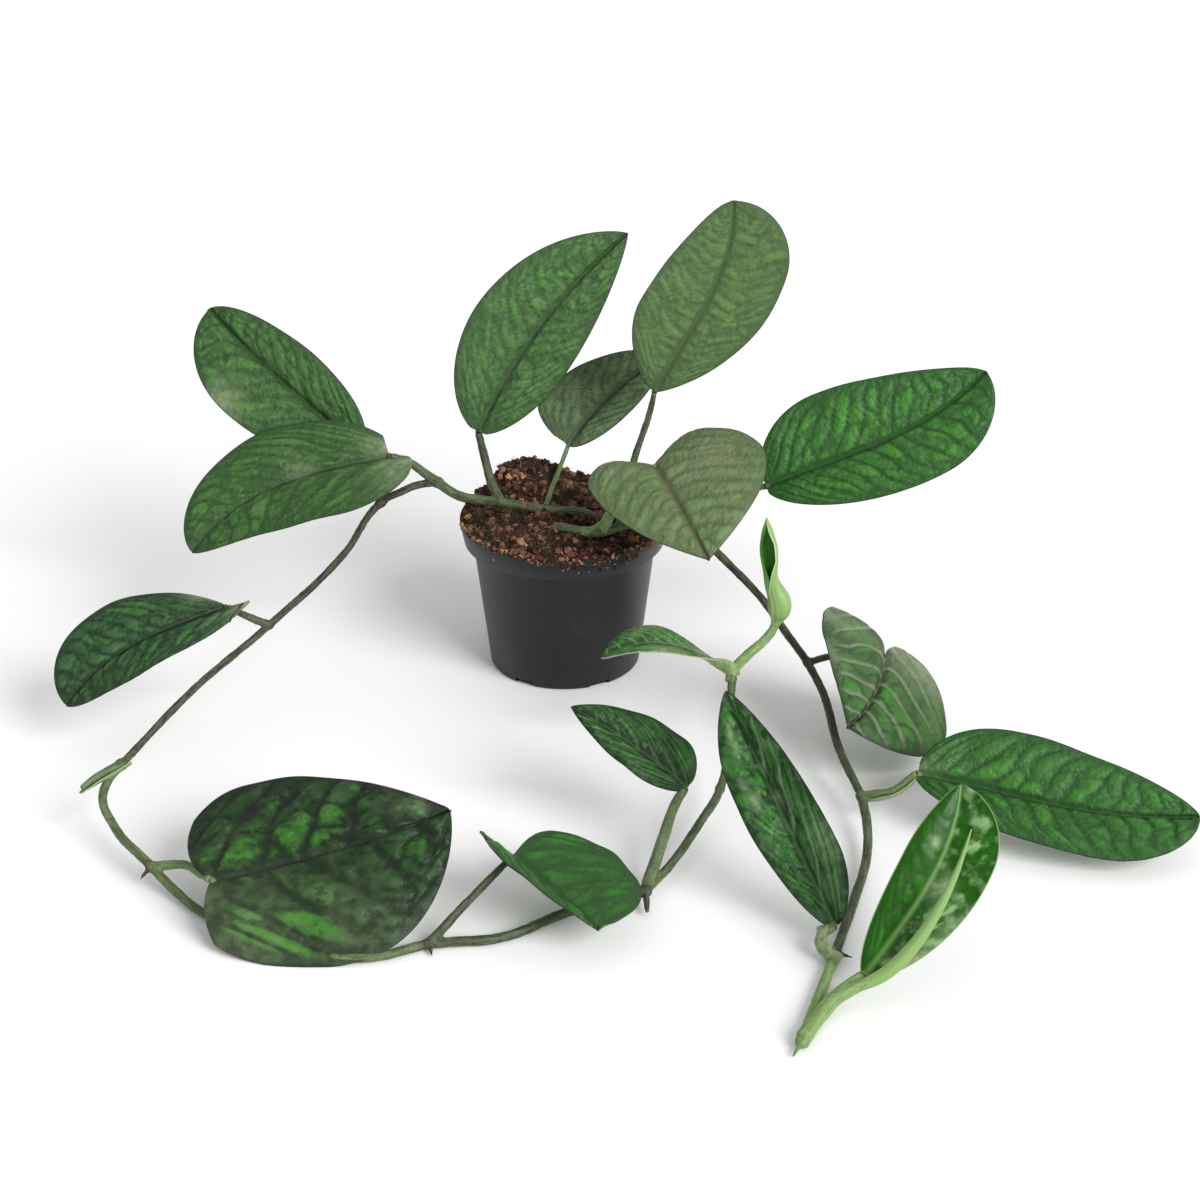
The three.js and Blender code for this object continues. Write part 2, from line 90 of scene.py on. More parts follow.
def turned(profile, steps, cuts=0):
    """A round body from a profile of radii and heights, with cuts in the profile's first edge."""
    bm = bmesh.new()
    corners = [bm.verts.new((radius * MM, 0, height * MM)) for radius, height in profile]
    edges = [bm.edges.new(pair) for pair in zip(corners, corners[1:])]
    if cuts:
        bmesh.ops.subdivide_edges(bm, edges=edges[:1], cuts=cuts)
    bmesh.ops.spin(bm, geom=list(bm.verts) + list(bm.edges), cent=(0, 0, 0), axis=(0, 0, 1),
                   angle=2 * math.pi, steps=steps, use_merge=True)
    bmesh.ops.remove_doubles(bm, verts=bm.verts, dist=1e-6)
    bmesh.ops.recalc_face_normals(bm, faces=bm.faces)
    return bm


def feed(tree, socket, value):
    """Link a socket to an output, or set its own number or colour."""
    if isinstance(value, bpy.types.NodeSocket):
        tree.links.new(value, socket)
    else:
        socket.default_value = value


def add_node(tree, kind, inputs=None, **settings):
    node = tree.nodes.new(kind)
    for key, value in settings.items():
        setattr(node, key, value)
    for key, value in (inputs or {}).items():
        feed(tree, node.inputs[key], value)
    return node


def colour(*seen):
    """A colour given as the eye sees it, 0 to 255, in the linear values that a shader takes."""
    return tuple(((c / 255 + 0.055) / 1.055) ** 2.4 if c > 10 else c / 3295 for c in seen) + (1,)


def mixed(tree, share, first, second):
    return add_node(tree, "ShaderNodeMix", {0: share, 6: first, 7: second}, data_type="RGBA").outputs[2]


def figured(tree, operation, *values):
    return add_node(tree, "ShaderNodeMath", dict(enumerate(values)), operation=operation).outputs[0]


def times(tree, *values):
    return figured(tree, "MULTIPLY", *values)


def plus(tree, *values):
    return figured(tree, "ADD", *values)


def vectors(tree, operation, *values):
    return add_node(tree, "ShaderNodeVectorMath", dict(enumerate(values)), operation=operation).outputs[0]


def stretched(tree, place, scale):
    return add_node(tree, "ShaderNodeMapping", {"Vector": place, "Scale": scale}).outputs[0]


def ramped(tree, value, low, high, to_low=0.0, to_high=1.0):
    limits = {"From Min": low, "From Max": high, "To Min": to_low, "To Max": to_high, "Value": value}
    return add_node(tree, "ShaderNodeMapRange", limits, interpolation_type="SMOOTHSTEP").outputs[0]


def speckle(tree, place, scale, detail=4.0, roughness=0.6):
    noisy = {"Vector": place, "Scale": scale, "Detail": detail, "Roughness": roughness}
    return add_node(tree, "ShaderNodeTexNoise", noisy).outputs["Fac"]


def carried(tree, name, output="Fac"):
    """A value that each vertex carries, by its name."""
    return add_node(tree, "ShaderNodeAttribute", attribute_name=name).outputs[output]


def new_material(name):
    material = bpy.data.materials.new(name)
    material.use_nodes = True
    tree = material.node_tree
    shader = tree.nodes["Principled BSDF"]
    place = add_node(tree, "ShaderNodeTexCoord").outputs["Object"]
    return material, tree, shader, place


def new_group(name, inputs, outputs):
    tree = bpy.data.node_groups.new(name, "ShaderNodeTree")
    for way, sockets in (("INPUT", inputs), ("OUTPUT", outputs)):
        for socket, kind in sockets:
            tree.interface.new_socket(socket, in_out=way, socket_type="NodeSocket" + kind)
    return tree, add_node(tree, "NodeGroupInput").outputs, add_node(tree, "NodeGroupOutput").inputs


def dress(tree, shader, skin, rough, relief, specular=0.5):
    """Join a skin's colour, roughness and bump to its shader. relief is height, strength, distance."""
    feed(tree, shader.inputs["Base Color"], skin)
    feed(tree, shader.inputs["Roughness"], rough)
    shader.inputs["Specular IOR Level"].default_value = specular
    bump = add_node(tree, "ShaderNodeBump", dict(zip(("Height", "Strength", "Distance"), relief)))
    tree.links.new(bump.outputs[0], shader.inputs["Normal"])


def body_radius(height):
    return BASE_RADIUS + (BODY_TOP_RADIUS - BASE_RADIUS) * height / LIP_FOOT


pot_profile = [
    (0, 0), (BASE_RADIUS - 1.6, 0), (BASE_RADIUS - 0.5, 0.4), (body_radius(1.4), 1.4), (body_radius(30), 30),
    (body_radius(56), 56), (body_radius(LIP_FOOT - 0.8), LIP_FOOT - 0.8), (BODY_TOP_RADIUS + 0.8, LIP_FOOT),
    (LIP_RADIUS - 0.9, LIP_FOOT), (LIP_RADIUS, LIP_FOOT + 0.8), (RIM_RADIUS - 0.1, POT_HEIGHT - 1.2),
    (RIM_RADIUS - 0.2, POT_HEIGHT - 0.3), (RIM_RADIUS - 0.65, POT_HEIGHT),
    (RIM_RADIUS - POT_WALL, POT_HEIGHT - 0.3), (LIP_RADIUS - POT_WALL, LIP_FOOT + POT_WALL),
    (BODY_TOP_RADIUS - POT_WALL, LIP_FOOT + POT_WALL - 0.4),
    (body_radius(POT_FLOOR) - POT_WALL, POT_FLOOR), (0, POT_FLOOR),
]
bm = turned(pot_profile, 144)
for face in bm.faces:
    face.smooth = True
pot_mesh = finished(bm, "pot_wall")

bm = bmesh.new()
for i in range(NOTCHES):
    turn = Matrix.Rotation(math.radians(NOTCH_TURN + 360 * i / NOTCHES), 4, "Z")
    size = Matrix.Diagonal((NOTCH_WIDE * MM, 5 * MM, 2 * NOTCH_HIGH * MM, 1))
    at = Matrix.Translation((0, -BASE_RADIUS * MM, 0))
    made = bmesh.ops.create_cube(bm, size=1, matrix=turn @ at @ size)
    sides = dict.fromkeys(edge for vert in made["verts"] for edge in vert.link_edges)
    upper = [edge for edge in sides
             if abs(edge.verts[0].co.z - edge.verts[1].co.z) < 1e-6 and edge.verts[0].co.z > 0]
    bmesh.ops.bevel(bm, geom=upper, offset=1.2 * MM, segments=4, profile=0.5, affect="EDGES", material=-1)
notch_mesh = finished(bm, "notches")
notch_tool = placed("notch_tool", notch_mesh)


def scuffs():
    """Fine scratches and wiped dust, as on plastic that has been handled: a mask and a height."""
    tree, given, ends = new_group("scuffs", [("Place", "Vector")], [("Dust", "Float"), ("Height", "Float")])
    place = given["Place"]
    cloudy = speckle(tree, place, 38, 5)
    scratch = speckle(tree, stretched(tree, place, (1, 1, 0.18)), 900, 3, 0.7)
    grain = speckle(tree, place, 2600, 2)
    dust = times(tree, ramped(tree, cloudy, 0.42, 0.75), ramped(tree, scratch, 0.45, 0.75))
    tree.links.new(dust, ends["Dust"])
    tree.links.new(plus(tree, times(tree, scratch, 0.5), grain), ends["Height"])
    return tree


pot_material, tree, shader, place = new_material("pot_black_plastic")
scuff = add_node(tree, "ShaderNodeGroup", node_tree=scuffs())
tree.links.new(place, scuff.inputs["Place"])
dust = scuff.outputs["Dust"]
height_up = add_node(tree, "ShaderNodeSeparateXYZ", {"Vector": place}).outputs["Z"]
specks = add_node(tree, "ShaderNodeTexVoronoi", {"Vector": place, "Scale": 190.0, "Randomness": 1.0})
flecks = times(tree, ramped(tree, specks.outputs["Distance"], 0.2, 0.12),
               times(tree, ramped(tree, speckle(tree, place, 46, 2), 0.6, 0.7),
                     ramped(tree, height_up, 0.045, 0.07)))
plastic = mixed(tree, dust, colour(14, 16, 18), colour(36, 38, 40))
dress(tree, shader, mixed(tree, flecks, plastic, colour(190, 188, 180)),
      ramped(tree, dust, 0, 1, 0.4, 0.62), (scuff.outputs["Height"], 0.25, 0.0002), 0.36)

pot = add_piece("pot_body", pot_mesh, [pot_material], "pot")
cut = pot.modifiers.new("notches", "BOOLEAN")
cut.object, cut.operation, cut.solver = notch_tool, "DIFFERENCE", "EXACT"
settled(pot)
bpy.data.objects.remove(notch_tool)
bpy.data.meshes.remove(notch_mesh)
softened = pot.modifiers.new("moulded_edges", "BEVEL")
softened.width, softened.segments = 0.25 * MM, 2
softened.limit_method, softened.angle_limit = "ANGLE", math.radians(40)

# Soil
# A loose mix of coir, bark and peat: a rough mound that fills the pot and spills over the rim at
# the front, with separate crumbs, chips and coir fibres lying on it.
MOUND = (19, -22, 30, 19)
HEAP = (3.5, 5, -18, 34)
SOIL_RIM = RIM_RADIUS - 0.4
CRUMBS, CHIPS, SPILT, FIBRES = 3600, 520, 620, 700
# Two tongues of mix that hang over the lip: how deep in millimetres, at what angle, and how narrow.
TONGUES = (7.5, 76, 9), (3, 52, 20)


def heap(x, y, size):
    high, at_x, at_y, spread = size
    return high * np.exp(-((x - at_x) ** 2 + (y - at_y) ** 2) / (2 * spread ** 2))


def soil_height(x, y):
    edge = np.minimum(1, (SOIL_RIM - np.hypot(x, y)) / 9)
    waves = 0.9 * np.sin(0.41 * x + 1.1) * np.cos(0.37 * y - 0.6) + 0.6 * np.sin(0.23 * x - 0.31 * y)
    return POT_HEIGHT + 0.6 + edge * (heap(x, y, MOUND) + heap(x, y, HEAP) + waves + 1.6)


def lumps(x, y):
    """Rough clods on the soil's top, in millimetres, so no two places look alike."""
    clod = noise.voronoi(Vector((x, y, 0)) / 6.5)[0]
    small = noise.voronoi(Vector((x + 40, y, 3)) / 2.6)[0]
    rough = noise.fractal(Vector((x, y, 7)) / 9, 0.8, 2.1, 4)
    return 3.4 * (clod[1] - clod[0]) + 1.3 * (small[1] - small[0]) + 1.9 * rough - 2.4


def chunk(bm, size, rough, seed, faces):
    """One clod as an icosphere that is squashed and knocked out of round."""
    for vert in bmesh.ops.create_icosphere(bm, subdivisions=faces, radius=size)["verts"]:
        vert.co *= 1 + rough * noise.noise(vert.co * (1.6 / size) + Vector((seed * 3.1, 0, seed)))


def corners_of(mesh):
    corner = np.empty(len(mesh.vertices) * 3)
    mesh.vertices.foreach_get("co", corner)
    return corner.reshape(-1, 3)


def loose(bm):
    """Corners and faces of a small form that is copied many times."""
    mesh = finished(bm, "loose")
    form = corners_of(mesh), [tuple(polygon.vertices) for polygon in mesh.polygons]
    bpy.data.meshes.remove(mesh)
    return form


def mark(mesh, name, values, kind="FLOAT", field="value"):
    """Give each vertex a value that a finish reads by its name."""
    mesh.attributes.new(name, kind, "POINT").data.foreach_set(field, values)


def copies(name, shapes, places):
    """One mesh from many placed copies: each place is a shape's number, a matrix and a tone."""
    points, faces, tones, count = [], [], [], 0
    for number, matrix, tone in places:
        corner, face = shapes[number]
        points.append(corner @ np.array(matrix.to_3x3()).T + np.array(matrix.translation))
        faces += (np.array(face) + count).tolist()
        tones.append(np.full(len(corner), tone))
        count += len(corner)
    mesh = bpy.data.meshes.new(name)
    mesh.from_pydata(np.concatenate(points), [], faces)
    mark(mesh, "tone", np.concatenate(tones))
    return mesh


def soil_edge(radius):
    """How much the clods show, which die away at the rim."""
    return min(1, (SOIL_RIM - radius) / 3 + 0.15)


soil_profile = [(0, 100), (SOIL_RIM, 91), (SOIL_RIM - 0.8, 90.4), (RIM_RADIUS - 1.9, 90.2),
                (LIP_RADIUS - 1.9, 77.9), (BODY_TOP_RADIUS - 1.9, 77.6),
                (body_radius(POT_FLOOR) - 1.9, 2), (0, 2)]
bm = turned(soil_profile, 190, 64)
for vert in bm.verts:
    x, y = vert.co.x / MM, vert.co.y / MM
    if vert.co.z > 90.9 * MM:
        vert.co.z = (float(soil_height(x, y)) + soil_edge(math.hypot(x, y)) * lumps(x, y)) * MM
soil_mesh = finished(bm, "soil_mound")
mark(soil_mesh, "tone", [0.25 + 0.2 * noise.noise(v.co * 160) for v in soil_mesh.vertices])


def soil_finish(name, lift):
    """Potting mix: dark peat, reddish bark and tan coir, told apart by each crumb's tone."""
    material, tree, shader, place = new_material(name)
    fine = speckle(tree, place, 900, 5, 0.7)
    wide = speckle(tree, place, 55, 3)
    shade = plus(tree, times(tree, carried(tree, "tone"), 0.75),
                 plus(tree, times(tree, fine, 0.45), times(tree, wide, 0.3)))
    ramp = add_node(tree, "ShaderNodeValToRGB", {"Fac": figured(tree, "SUBTRACT", shade, 0.22 - lift)})
    stops = ramp.color_ramp.elements
    stops[0].position, stops[0].color = 0.12, colour(20, 14, 11)
    stops[1].position, stops[1].color = 1.0, colour(186, 152, 120)
    for position, tint in ((0.3, (42, 27, 22)), (0.46, (74, 46, 36)), (0.6, (106, 69, 57)),
                           (0.76, (144, 103, 85))):
        stops.new(position).color = colour(*tint)
    damp = ramped(tree, speckle(tree, place, 34, 3), 0.46, 0.62)
    mossy = mixed(tree, times(tree, damp, 0.7), ramp.outputs["Color"], colour(30, 34, 18))
    moved = vectors(tree, "ADD", place, (3.1, 7.7, 0))
    coir = times(tree, ramped(tree, speckle(tree, moved, 48, 3), 0.56, 0.68), ramped(tree, shade, 0.5, 0.8))
    skin = mixed(tree, times(tree, coir, 0.7), mossy, colour(158, 136, 84))
    dress(tree, shader, skin, 0.95, (fine, 0.8, 0.0008), 0.2)
    return material


soil_material = soil_finish("soil_mix", 0.0)
chip_material = soil_finish("soil_crumbs", 0.06)
add_piece("soil_mound", soil_mesh, [soil_material], "soil")

rng = random.Random(11)
shapes = []
for number in range(14):
    bm = bmesh.new()
    chunk(bm, 1, 0.75, number, 1 if number < 9 else 2)
    shapes.append(loose(bm))


def on_soil(rng, spread=1.0):
    angle, radius = rng.uniform(0, 2 * math.pi), SOIL_RIM * spread * math.sqrt(rng.random())
    x, y = radius * math.cos(angle), radius * math.sin(angle)
    return x, y, float(soil_height(x, y)) + soil_edge(radius) * lumps(x, y)


def tumbled(rng, x, y, z, size):
    angle = rng.uniform(0, 6.3)
    axis = Vector((rng.gauss(0, 1), rng.gauss(0, 1), rng.gauss(0, 1) + 0.01))
    turn = Matrix.Rotation(angle, 4, axis)
    scale = Matrix.Diagonal((size, size * rng.uniform(0.55, 1), size * rng.uniform(0.4, 0.8), 1))
    return Matrix.Translation((x * MM, y * MM, z * MM)) @ turn @ scale


places = []
for i in range(CRUMBS):
    x, y, z = on_soil(rng)
    size = rng.uniform(0.35, 1.0)
    places.append((rng.randrange(9), tumbled(rng, x, y, z + 0.2 * size, size * MM), rng.betavariate(2, 3)))
for i in range(CHIPS):
    x, y, z = on_soil(rng, 0.98)
    size = rng.uniform(1.0, 2.9)
    places.append((rng.randrange(9, 14), tumbled(rng, x, y, z + 0.3 * size, size * MM),
                   rng.betavariate(2, 2.4)))
for i in range(SPILT):
    angle = math.radians(rng.uniform(-168, -12))
    drop = rng.random() ** 2
    spill = sum((deep * max(0, math.cos(angle + math.radians(at))) ** narrow
                 for deep, at, narrow in TONGUES), 2.2)
    z = POT_HEIGHT + 1.2 - drop * spill
    radius = RIM_RADIUS - 0.6 if z > POT_HEIGHT else LIP_RADIUS + 2.5 * (z - LIP_FOOT) / 14
    size = rng.uniform(0.5, 1.5) * (1.1 - 0.4 * drop)
    out = radius + 0.25 * size
    place = tumbled(rng, out * math.cos(angle), out * math.sin(angle), z, size * MM)
    places.append((rng.randrange(9), place, rng.betavariate(2, 2.4)))
add_piece("soil_crumbs", copies("soil_crumbs", shapes, places), [chip_material], None)

strands = []
for number in range(8):
    bm = bmesh.new()
    bmesh.ops.create_cone(bm, segments=4, radius1=0.5, radius2=0.35, depth=2, cap_ends=True)
    long_edges = [e for e in bm.edges if abs(e.verts[0].co.z - e.verts[1].co.z) > 1]
    bmesh.ops.subdivide_edges(bm, edges=long_edges, cuts=7)
    for vert in bm.verts:
        bend = vert.co.z
        vert.co = Vector((0.035 * vert.co.x + 0.28 * math.sin(bend * (1.3 + 0.3 * number) + number),
                          0.035 * vert.co.y + 0.2 * math.sin(bend * 2.4 + 2 * number), bend))
    bmesh.ops.triangulate(bm, faces=bm.faces)
    strands.append(loose(bm))
places = []
for i in range(FIBRES):
    x, y, z = on_soil(rng, 0.97)
    lean = Matrix.Rotation(math.radians(90 + rng.gauss(0, 18)), 4, "X")
    turn = Matrix.Rotation(rng.uniform(0, 6.3), 4, "Z")
    size = rng.uniform(1.6, 5.0) * MM
    places.append((rng.randrange(8), Matrix.Translation((x * MM, y * MM, (z + 0.9) * MM)) @ turn @ lean @
                   Matrix.Diagonal((size, size, size, 1)), rng.uniform(0.6, 1.1)))
add_piece("soil_fibres", copies("soil_fibres", strands, places), [chip_material], None)

# Vines
# Two climbing stems and the petioles that grow from them, one body each, grey-brown where old and
# pale green at the end. A ridge and a small dry root stub mark most nodes. Each stretch has its
# radius at foot and head, how fresh it is from about 0 to 1, and its route.
LEFT_VINE = [
    (2.8, 2.9, 0.25, [(26, -13, 86), (17, -10, 94), (-14, -6, 97), (-36, 1, 98), (-47, 4, 98), (-58, 2, 101),
                      (-65, -1, 106), (-72, 2, 110)]),
    (2.4, 2.0, 0.0, [(-72, 2, 110), (-78, 3, 109), (-85, 2, 108), (-92, -1, 106), (-105, 3, 97),
                     (-124, -30, 80),
                     (-161, -83, 62), (-195, -138, 52), (-225, -198, 40)]),
    (2.4, 2.4, 0.35, [(-225, -198, 40), (-231, -203, 34), (-234, -208, 26), (-229, -217, 18),
                      (-203, -253, 13),
                      (-194, -261, 8), (-172, -283, 4), (-133, -307, 2.8), (-94, -318, 2.8),
                      (-62, -306, 2.8)]),
    (2.5, 2.5, 0.15, [(-62, -306, 2.8), (-47, -304, 2.8), (-28, -301, 2.8), (4, -280, 3.6), (43, -266, 7)]),
    (2.3, 2.4, 0.25, [(43, -266, 7), (55, -248, 10), (72, -213, 15), (83, -187, 19), (89, -155, 31),
                      (91, -128, 45),
                      (92, -117, 52)]),
    (3.0, 2.2, 0.25, [(-72, 2, 110), (-80, 3, 116), (-88, 2, 122.5), (-98, 2, 126.5)]),
    (3.1, 2.2, 0.1, [(-36, 1, 98), (-42, 11, 107), (-46, 18, 120), (-49, 20, 133)]),
    (1.8, 1.4, 0.4, [(-11, -6, 97), (-8, 6, 102), (-3, 21, 110), (2, 31.5, 120)]),
    (2.5, 1.8, 0.2, [(-105, 3, 97), (-111, 13, 105), (-118, 29, 117)]),
    (2.4, 1.9, 0.1, [(-161, -83, 62), (-172, -85, 68), (-183, -85, 74)]),
    (2.7, 1.8, 0.5, [(-203, -253, 13), (-193, -256, 16), (-184, -261, 19), (-176, -273, 22),
                     (-169, -285, 26)]),
    (2.6, 1.8, 0.15, [(-62, -306, 3), (-56, -302, 8), (-48, -294, 13.5), (-37, -283.5, 20.5),
                      (-26, -271.5, 26.5)]),
    (3.3, 2.4, 0.4, [(43, -266, 7), (52, -240, 21), (59, -222, 32), (63, -216, 35.5)]),
    (3.4, 2.6, 0.9, [(91, -122, 48), (90.5, -117, 52), (86.5, -116, 54.2)]),
    (3.0, 2.2, 0.95, [(92, -117, 52), (99, -113, 58), (112, -103, 66), (115, -101, 70.5), (117, -100, 76)]),
    (2.6, 1.7, 0.4, [(-225, -198, 40), (-236, -207, 38), (-243, -214, 35)]),
    (1.7, 0.4, 0.0, [(-203, -253, 13), (-207, -254, 9), (-209, -254, 6)]),
    (1.8, 0.4, 0.0, [(-62, -306, 3), (-61, -310, 2.4), (-60, -314, 1.6)]),
    (1.9, 1.3, -0.4, [(43, -266, 7), (43.5, -273, 5.4), (43.5, -280, 4)]),
]
LEFT_NODES = [(3.6, -72, 2, 110), (3.1, -105, 3, 97), (2.9, -161, -83, 62), (3.3, -225, -198, 40),
              (3.2, -203, -253, 13), (2.9, -62, -306, 3.2), (3.4, 43, -266, 7), (2.9, 83, -187, 19),
              (3.0, 92, -117, 52), (3.4, -36, 1, 98), (3.0, 26, -13, 86)]
RIGHT_VINE = [
    (2.8, 2.7, 0.35, [(-10, -20, 87), (-4, -27, 95), (8, -35, 97), (19, -38, 97), (31, -33, 98),
                      (45, -28, 100),
                      (62, -27, 99), (77, -27, 90)]),
    (2.4, 2.2, 0.05, [(77, -27, 90), (88, -29, 79), (112, -53, 62), (123, -65, 50), (136, -78, 36)]),
    (2.4, 2.3, 0.1, [(136, -78, 36), (143, -105, 30), (148, -147, 21), (157, -186, 14)]),
    (2.6, 2.5, 0.2, [(157, -186, 14), (158, -206, 10), (156, -230, 6), (146, -270, 4), (133, -315, 3.2)]),
    (2.5, 3.3, 0.95, [(133, -315, 3.2), (120, -360, 3.2), (112, -387, 3.4)]),
    (2.6, 1.6, 0.2, [(31, -33, 98), (35, -15, 107), (40, 1, 125), (48, 4, 150), (51, 2, 165)]),
    (2.5, 2.0, 0.5, [(38, -30, 99), (44, -33, 112), (49, -32, 127), (50, -30.5, 135)]),
    (2.4, 1.8, 0.2, [(45, -28, 100), (68, -20, 107), (94, -15, 111), (113, -14, 114.5)]),
    (2.2, 1.6, 0.15, [(136, -78, 36), (147, -77, 39), (163, -84, 43), (177, -89.5, 47)]),
    (2.6, 1.9, 0.5, [(157, -186, 14), (165, -190, 18), (172, -192, 21), (184, -190, 30)]),
    (2.6, 2.4, 0.75, [(133, -315, 3.4), (126, -317, 8), (127, -312, 12), (132, -306.5, 12.5)]),
    (4.1, 3.3, 1.05, [(113, -384, 4.2), (120, -370, 4.6), (129, -357, 6.4), (137, -350, 9),
                      (143, -345.5, 10.5)]),
    (1.7, 0.4, 0.0, [(133, -315, 3.4), (137, -317, 3.8), (141, -319, 3.6)]),
    (1.5, 0.4, 0.6, [(112, -387, 3.2), (109, -392, 2.4), (107, -396, 1.6)]),
    (3.7, 2.6, 1.05, [(129, -357, 6.4), (138, -353, 9.5), (147, -351.5, 13.5)]),
    (2.5, 2.2, 0.85, [(12, -37, 97), (19, -36, 99), (26, -32, 105), (29, -30, 110)]),
]
RIGHT_NODES = [(3.0, 136, -78, 36), (3.4, 157, -186, 14), (3.2, 133, -315, 3.5), (3.2, 112, -386, 3.7),
               (3.6, 38, -30, 99), (3.4, 12, -37, 97), (3.0, -10, -20, 87)]
STEM_VOXEL = 0.62


def unit(rows):
    return rows / np.linalg.norm(rows, axis=-1, keepdims=True)


def tube(radii, route):
    """A round stem along a smooth route, with a radius at each point of it."""
    curve = bpy.data.curves.new("stretch", "CURVE")
    curve.dimensions, curve.resolution_u, curve.use_fill_caps = "3D", 8, True
    curve.bevel_depth, curve.bevel_resolution = MM, 4
    spline = curve.splines.new("BEZIER")
    spline.bezier_points.add(len(route) - 1)
    for point, radius, at in zip(spline.bezier_points, radii, route):
        point.co = Vector(at) * MM
        point.handle_left_type = point.handle_right_type = "AUTO"
        point.radius = radius
    piece = placed("stretch", curve)
    bpy.context.view_layer.update()
    mesh = bpy.data.meshes.new_from_object(piece.evaluated_get(bpy.context.evaluated_depsgraph_get()))
    middle = [Vector(p.co) for p in spline.bezier_points]
    bpy.data.objects.remove(piece)
    bpy.data.curves.remove(curve)
    return mesh, middle


def smooth_line(values, share):
    """Value at a share of the way along evenly spaced values, on a smooth line through them."""
    place = np.clip(share, 0, 1) * (len(values) - 1)
    i = np.minimum(place.astype(int), len(values) - 2)
    f = place - i
    table = np.array(values, float)
    before, first = table[np.maximum(i - 1, 0)], table[i]
    second, after = table[i + 1], table[np.minimum(i + 2, len(values) - 1)]
    if table.ndim > 1:
        f = f[:, None]
    return 0.5 * (2 * first + (second - before) * f + (2 * before - 5 * first + 4 * second - after) * f ** 2
                  + (3 * first - before - 3 * second + after) * f ** 3)


def stem_body(name, stretches, nodes, node):
    bm = bmesh.new()
    trail = []
    for foot, head, fresh, route in stretches:
        mesh, middle = tube(np.linspace(foot, head, len(route)), route)
        bm.from_mesh(mesh)
        bpy.data.meshes.remove(mesh)
        for first, second in zip(middle, middle[1:]):
            trail += [(first.lerp(second, k / 6), fresh) for k in range(7)]
    for radius, *at in nodes:
        knob = Matrix.Translation(Vector(at) * MM) @ Matrix.Diagonal((1, 1, 0.92, 1))
        bmesh.ops.create_uvsphere(bm, u_segments=16, v_segments=10, radius=radius * MM, matrix=knob)
    piece = add_piece(name, finished(bm, name), [], node)
    joined = piece.modifiers.new("grown_together", "REMESH")
    joined.mode, joined.voxel_size, joined.use_smooth_shade = "VOXEL", STEM_VOXEL * MM, True
    eased = piece.modifiers.new("eased", "SMOOTH")
    eased.factor, eased.iterations = 0.5, 5
    settled(piece)
    tree = kdtree.KDTree(len(trail))
    for i, (at, fresh) in enumerate(trail):
        tree.insert(at, i)
    tree.balance()
    skin = corners_of(piece.data)
    outward = np.empty(skin.size)
    piece.data.vertices.foreach_get("normal", outward)
    outward = outward.reshape(-1, 3)
    knots = np.array([at for radius, *at in nodes]) * MM
    away = np.min(np.linalg.norm(skin[:, None] - knots[None], axis=2), axis=1) / MM
    knot = np.maximum(0, 1 - away / 6)
    fresh, grain = [], []
    path = np.array([at for at, level in trail]) / MM
    ahead = unit(np.gradient(path, axis=0) + 1e-6)
    for at in skin:
        near = tree.find_n(at, 3)
        i = near[0][1]
        offset = at / MM - path[i]
        grain.append(offset - ahead[i] * (offset @ ahead[i]) * 0.9 + 0.1 * path[i])
        fresh.append(sum(trail[i][1] / (d + 1e-5) for c, i, d in near)
                     / sum(1 / (d + 1e-5) for c, i, d in near))
    rough = [0.16 * noise.noise(Vector(at) * 420) + 0.22 * noise.noise(Vector(at) * 110) for at in skin]
    skin += outward * ((0.28 * knot * np.sin(away * 2.4) + rough) * MM)[:, None]
    skin[:, 2] = np.maximum(skin[:, 2], 0.3 * MM)
    piece.data.vertices.foreach_set("co", skin.ravel())
    mark(piece.data, "fresh", fresh)
    mark(piece.data, "knot", knot)
    mark(piece.data, "grain", np.array(grain).ravel(), "FLOAT_VECTOR", "vector")
    return piece


def stem_finish():
    """Stem skin: brown-grey where old, green where fresh, with darker ringed nodes."""
    material, tree, shader, place = new_material("stem_skin")
    wide = speckle(tree, place, 70, 3)
    fine = speckle(tree, place, 520, 4, 0.7)
    grain = speckle(tree, carried(tree, "grain", "Vector"), 0.9, 3, 0.6)
    streaks = plus(tree, times(tree, grain, 0.65), times(tree, fine, 0.35))
    old = mixed(tree, ramped(tree, streaks, 0.38, 0.62), colour(38, 41, 31), colour(80, 85, 66))
    green = mixed(tree, ramped(tree, streaks, 0.38, 0.64), colour(100, 128, 70), colour(130, 156, 100))
    fresh = plus(tree, carried(tree, "fresh"), times(tree, wide, 0.3))
    skin = mixed(tree, ramped(tree, fresh, 0.15, 1.1), old, green)
    scar = times(tree, ramped(tree, carried(tree, "knot"), 0.3, 0.9), ramped(tree, fine, 0.42, 0.62))
    skin = mixed(tree, times(tree, scar, 0.55), skin, colour(66, 52, 36))
    dress(tree, shader, skin, ramped(tree, fine, 0.2, 0.8, 0.42, 0.62), (streaks, 0.6, 0.0007), 0.25)
    return material


def flat_sheet(name, columns, rows, turned_over=False):
    """A smooth flat grid from -1 to 1 that a thin form is bent from, and its corners."""
    bm = bmesh.new()
    bmesh.ops.create_grid(bm, x_segments=columns, y_segments=rows, size=1)
    if turned_over:
        bmesh.ops.reverse_faces(bm, faces=bm.faces)
    mesh = finished(bm, name)
    mesh.polygons.foreach_set("use_smooth", np.ones(len(mesh.polygons), bool))
    return mesh, corners_of(mesh)


def route_ahead(route, share, step):
    """Direction of a smooth route at each share of the way along it."""
    after, before = np.minimum(share + step, 1), np.maximum(share - step, 0)
    return unit(smooth_line(route, after) - smooth_line(route, before))


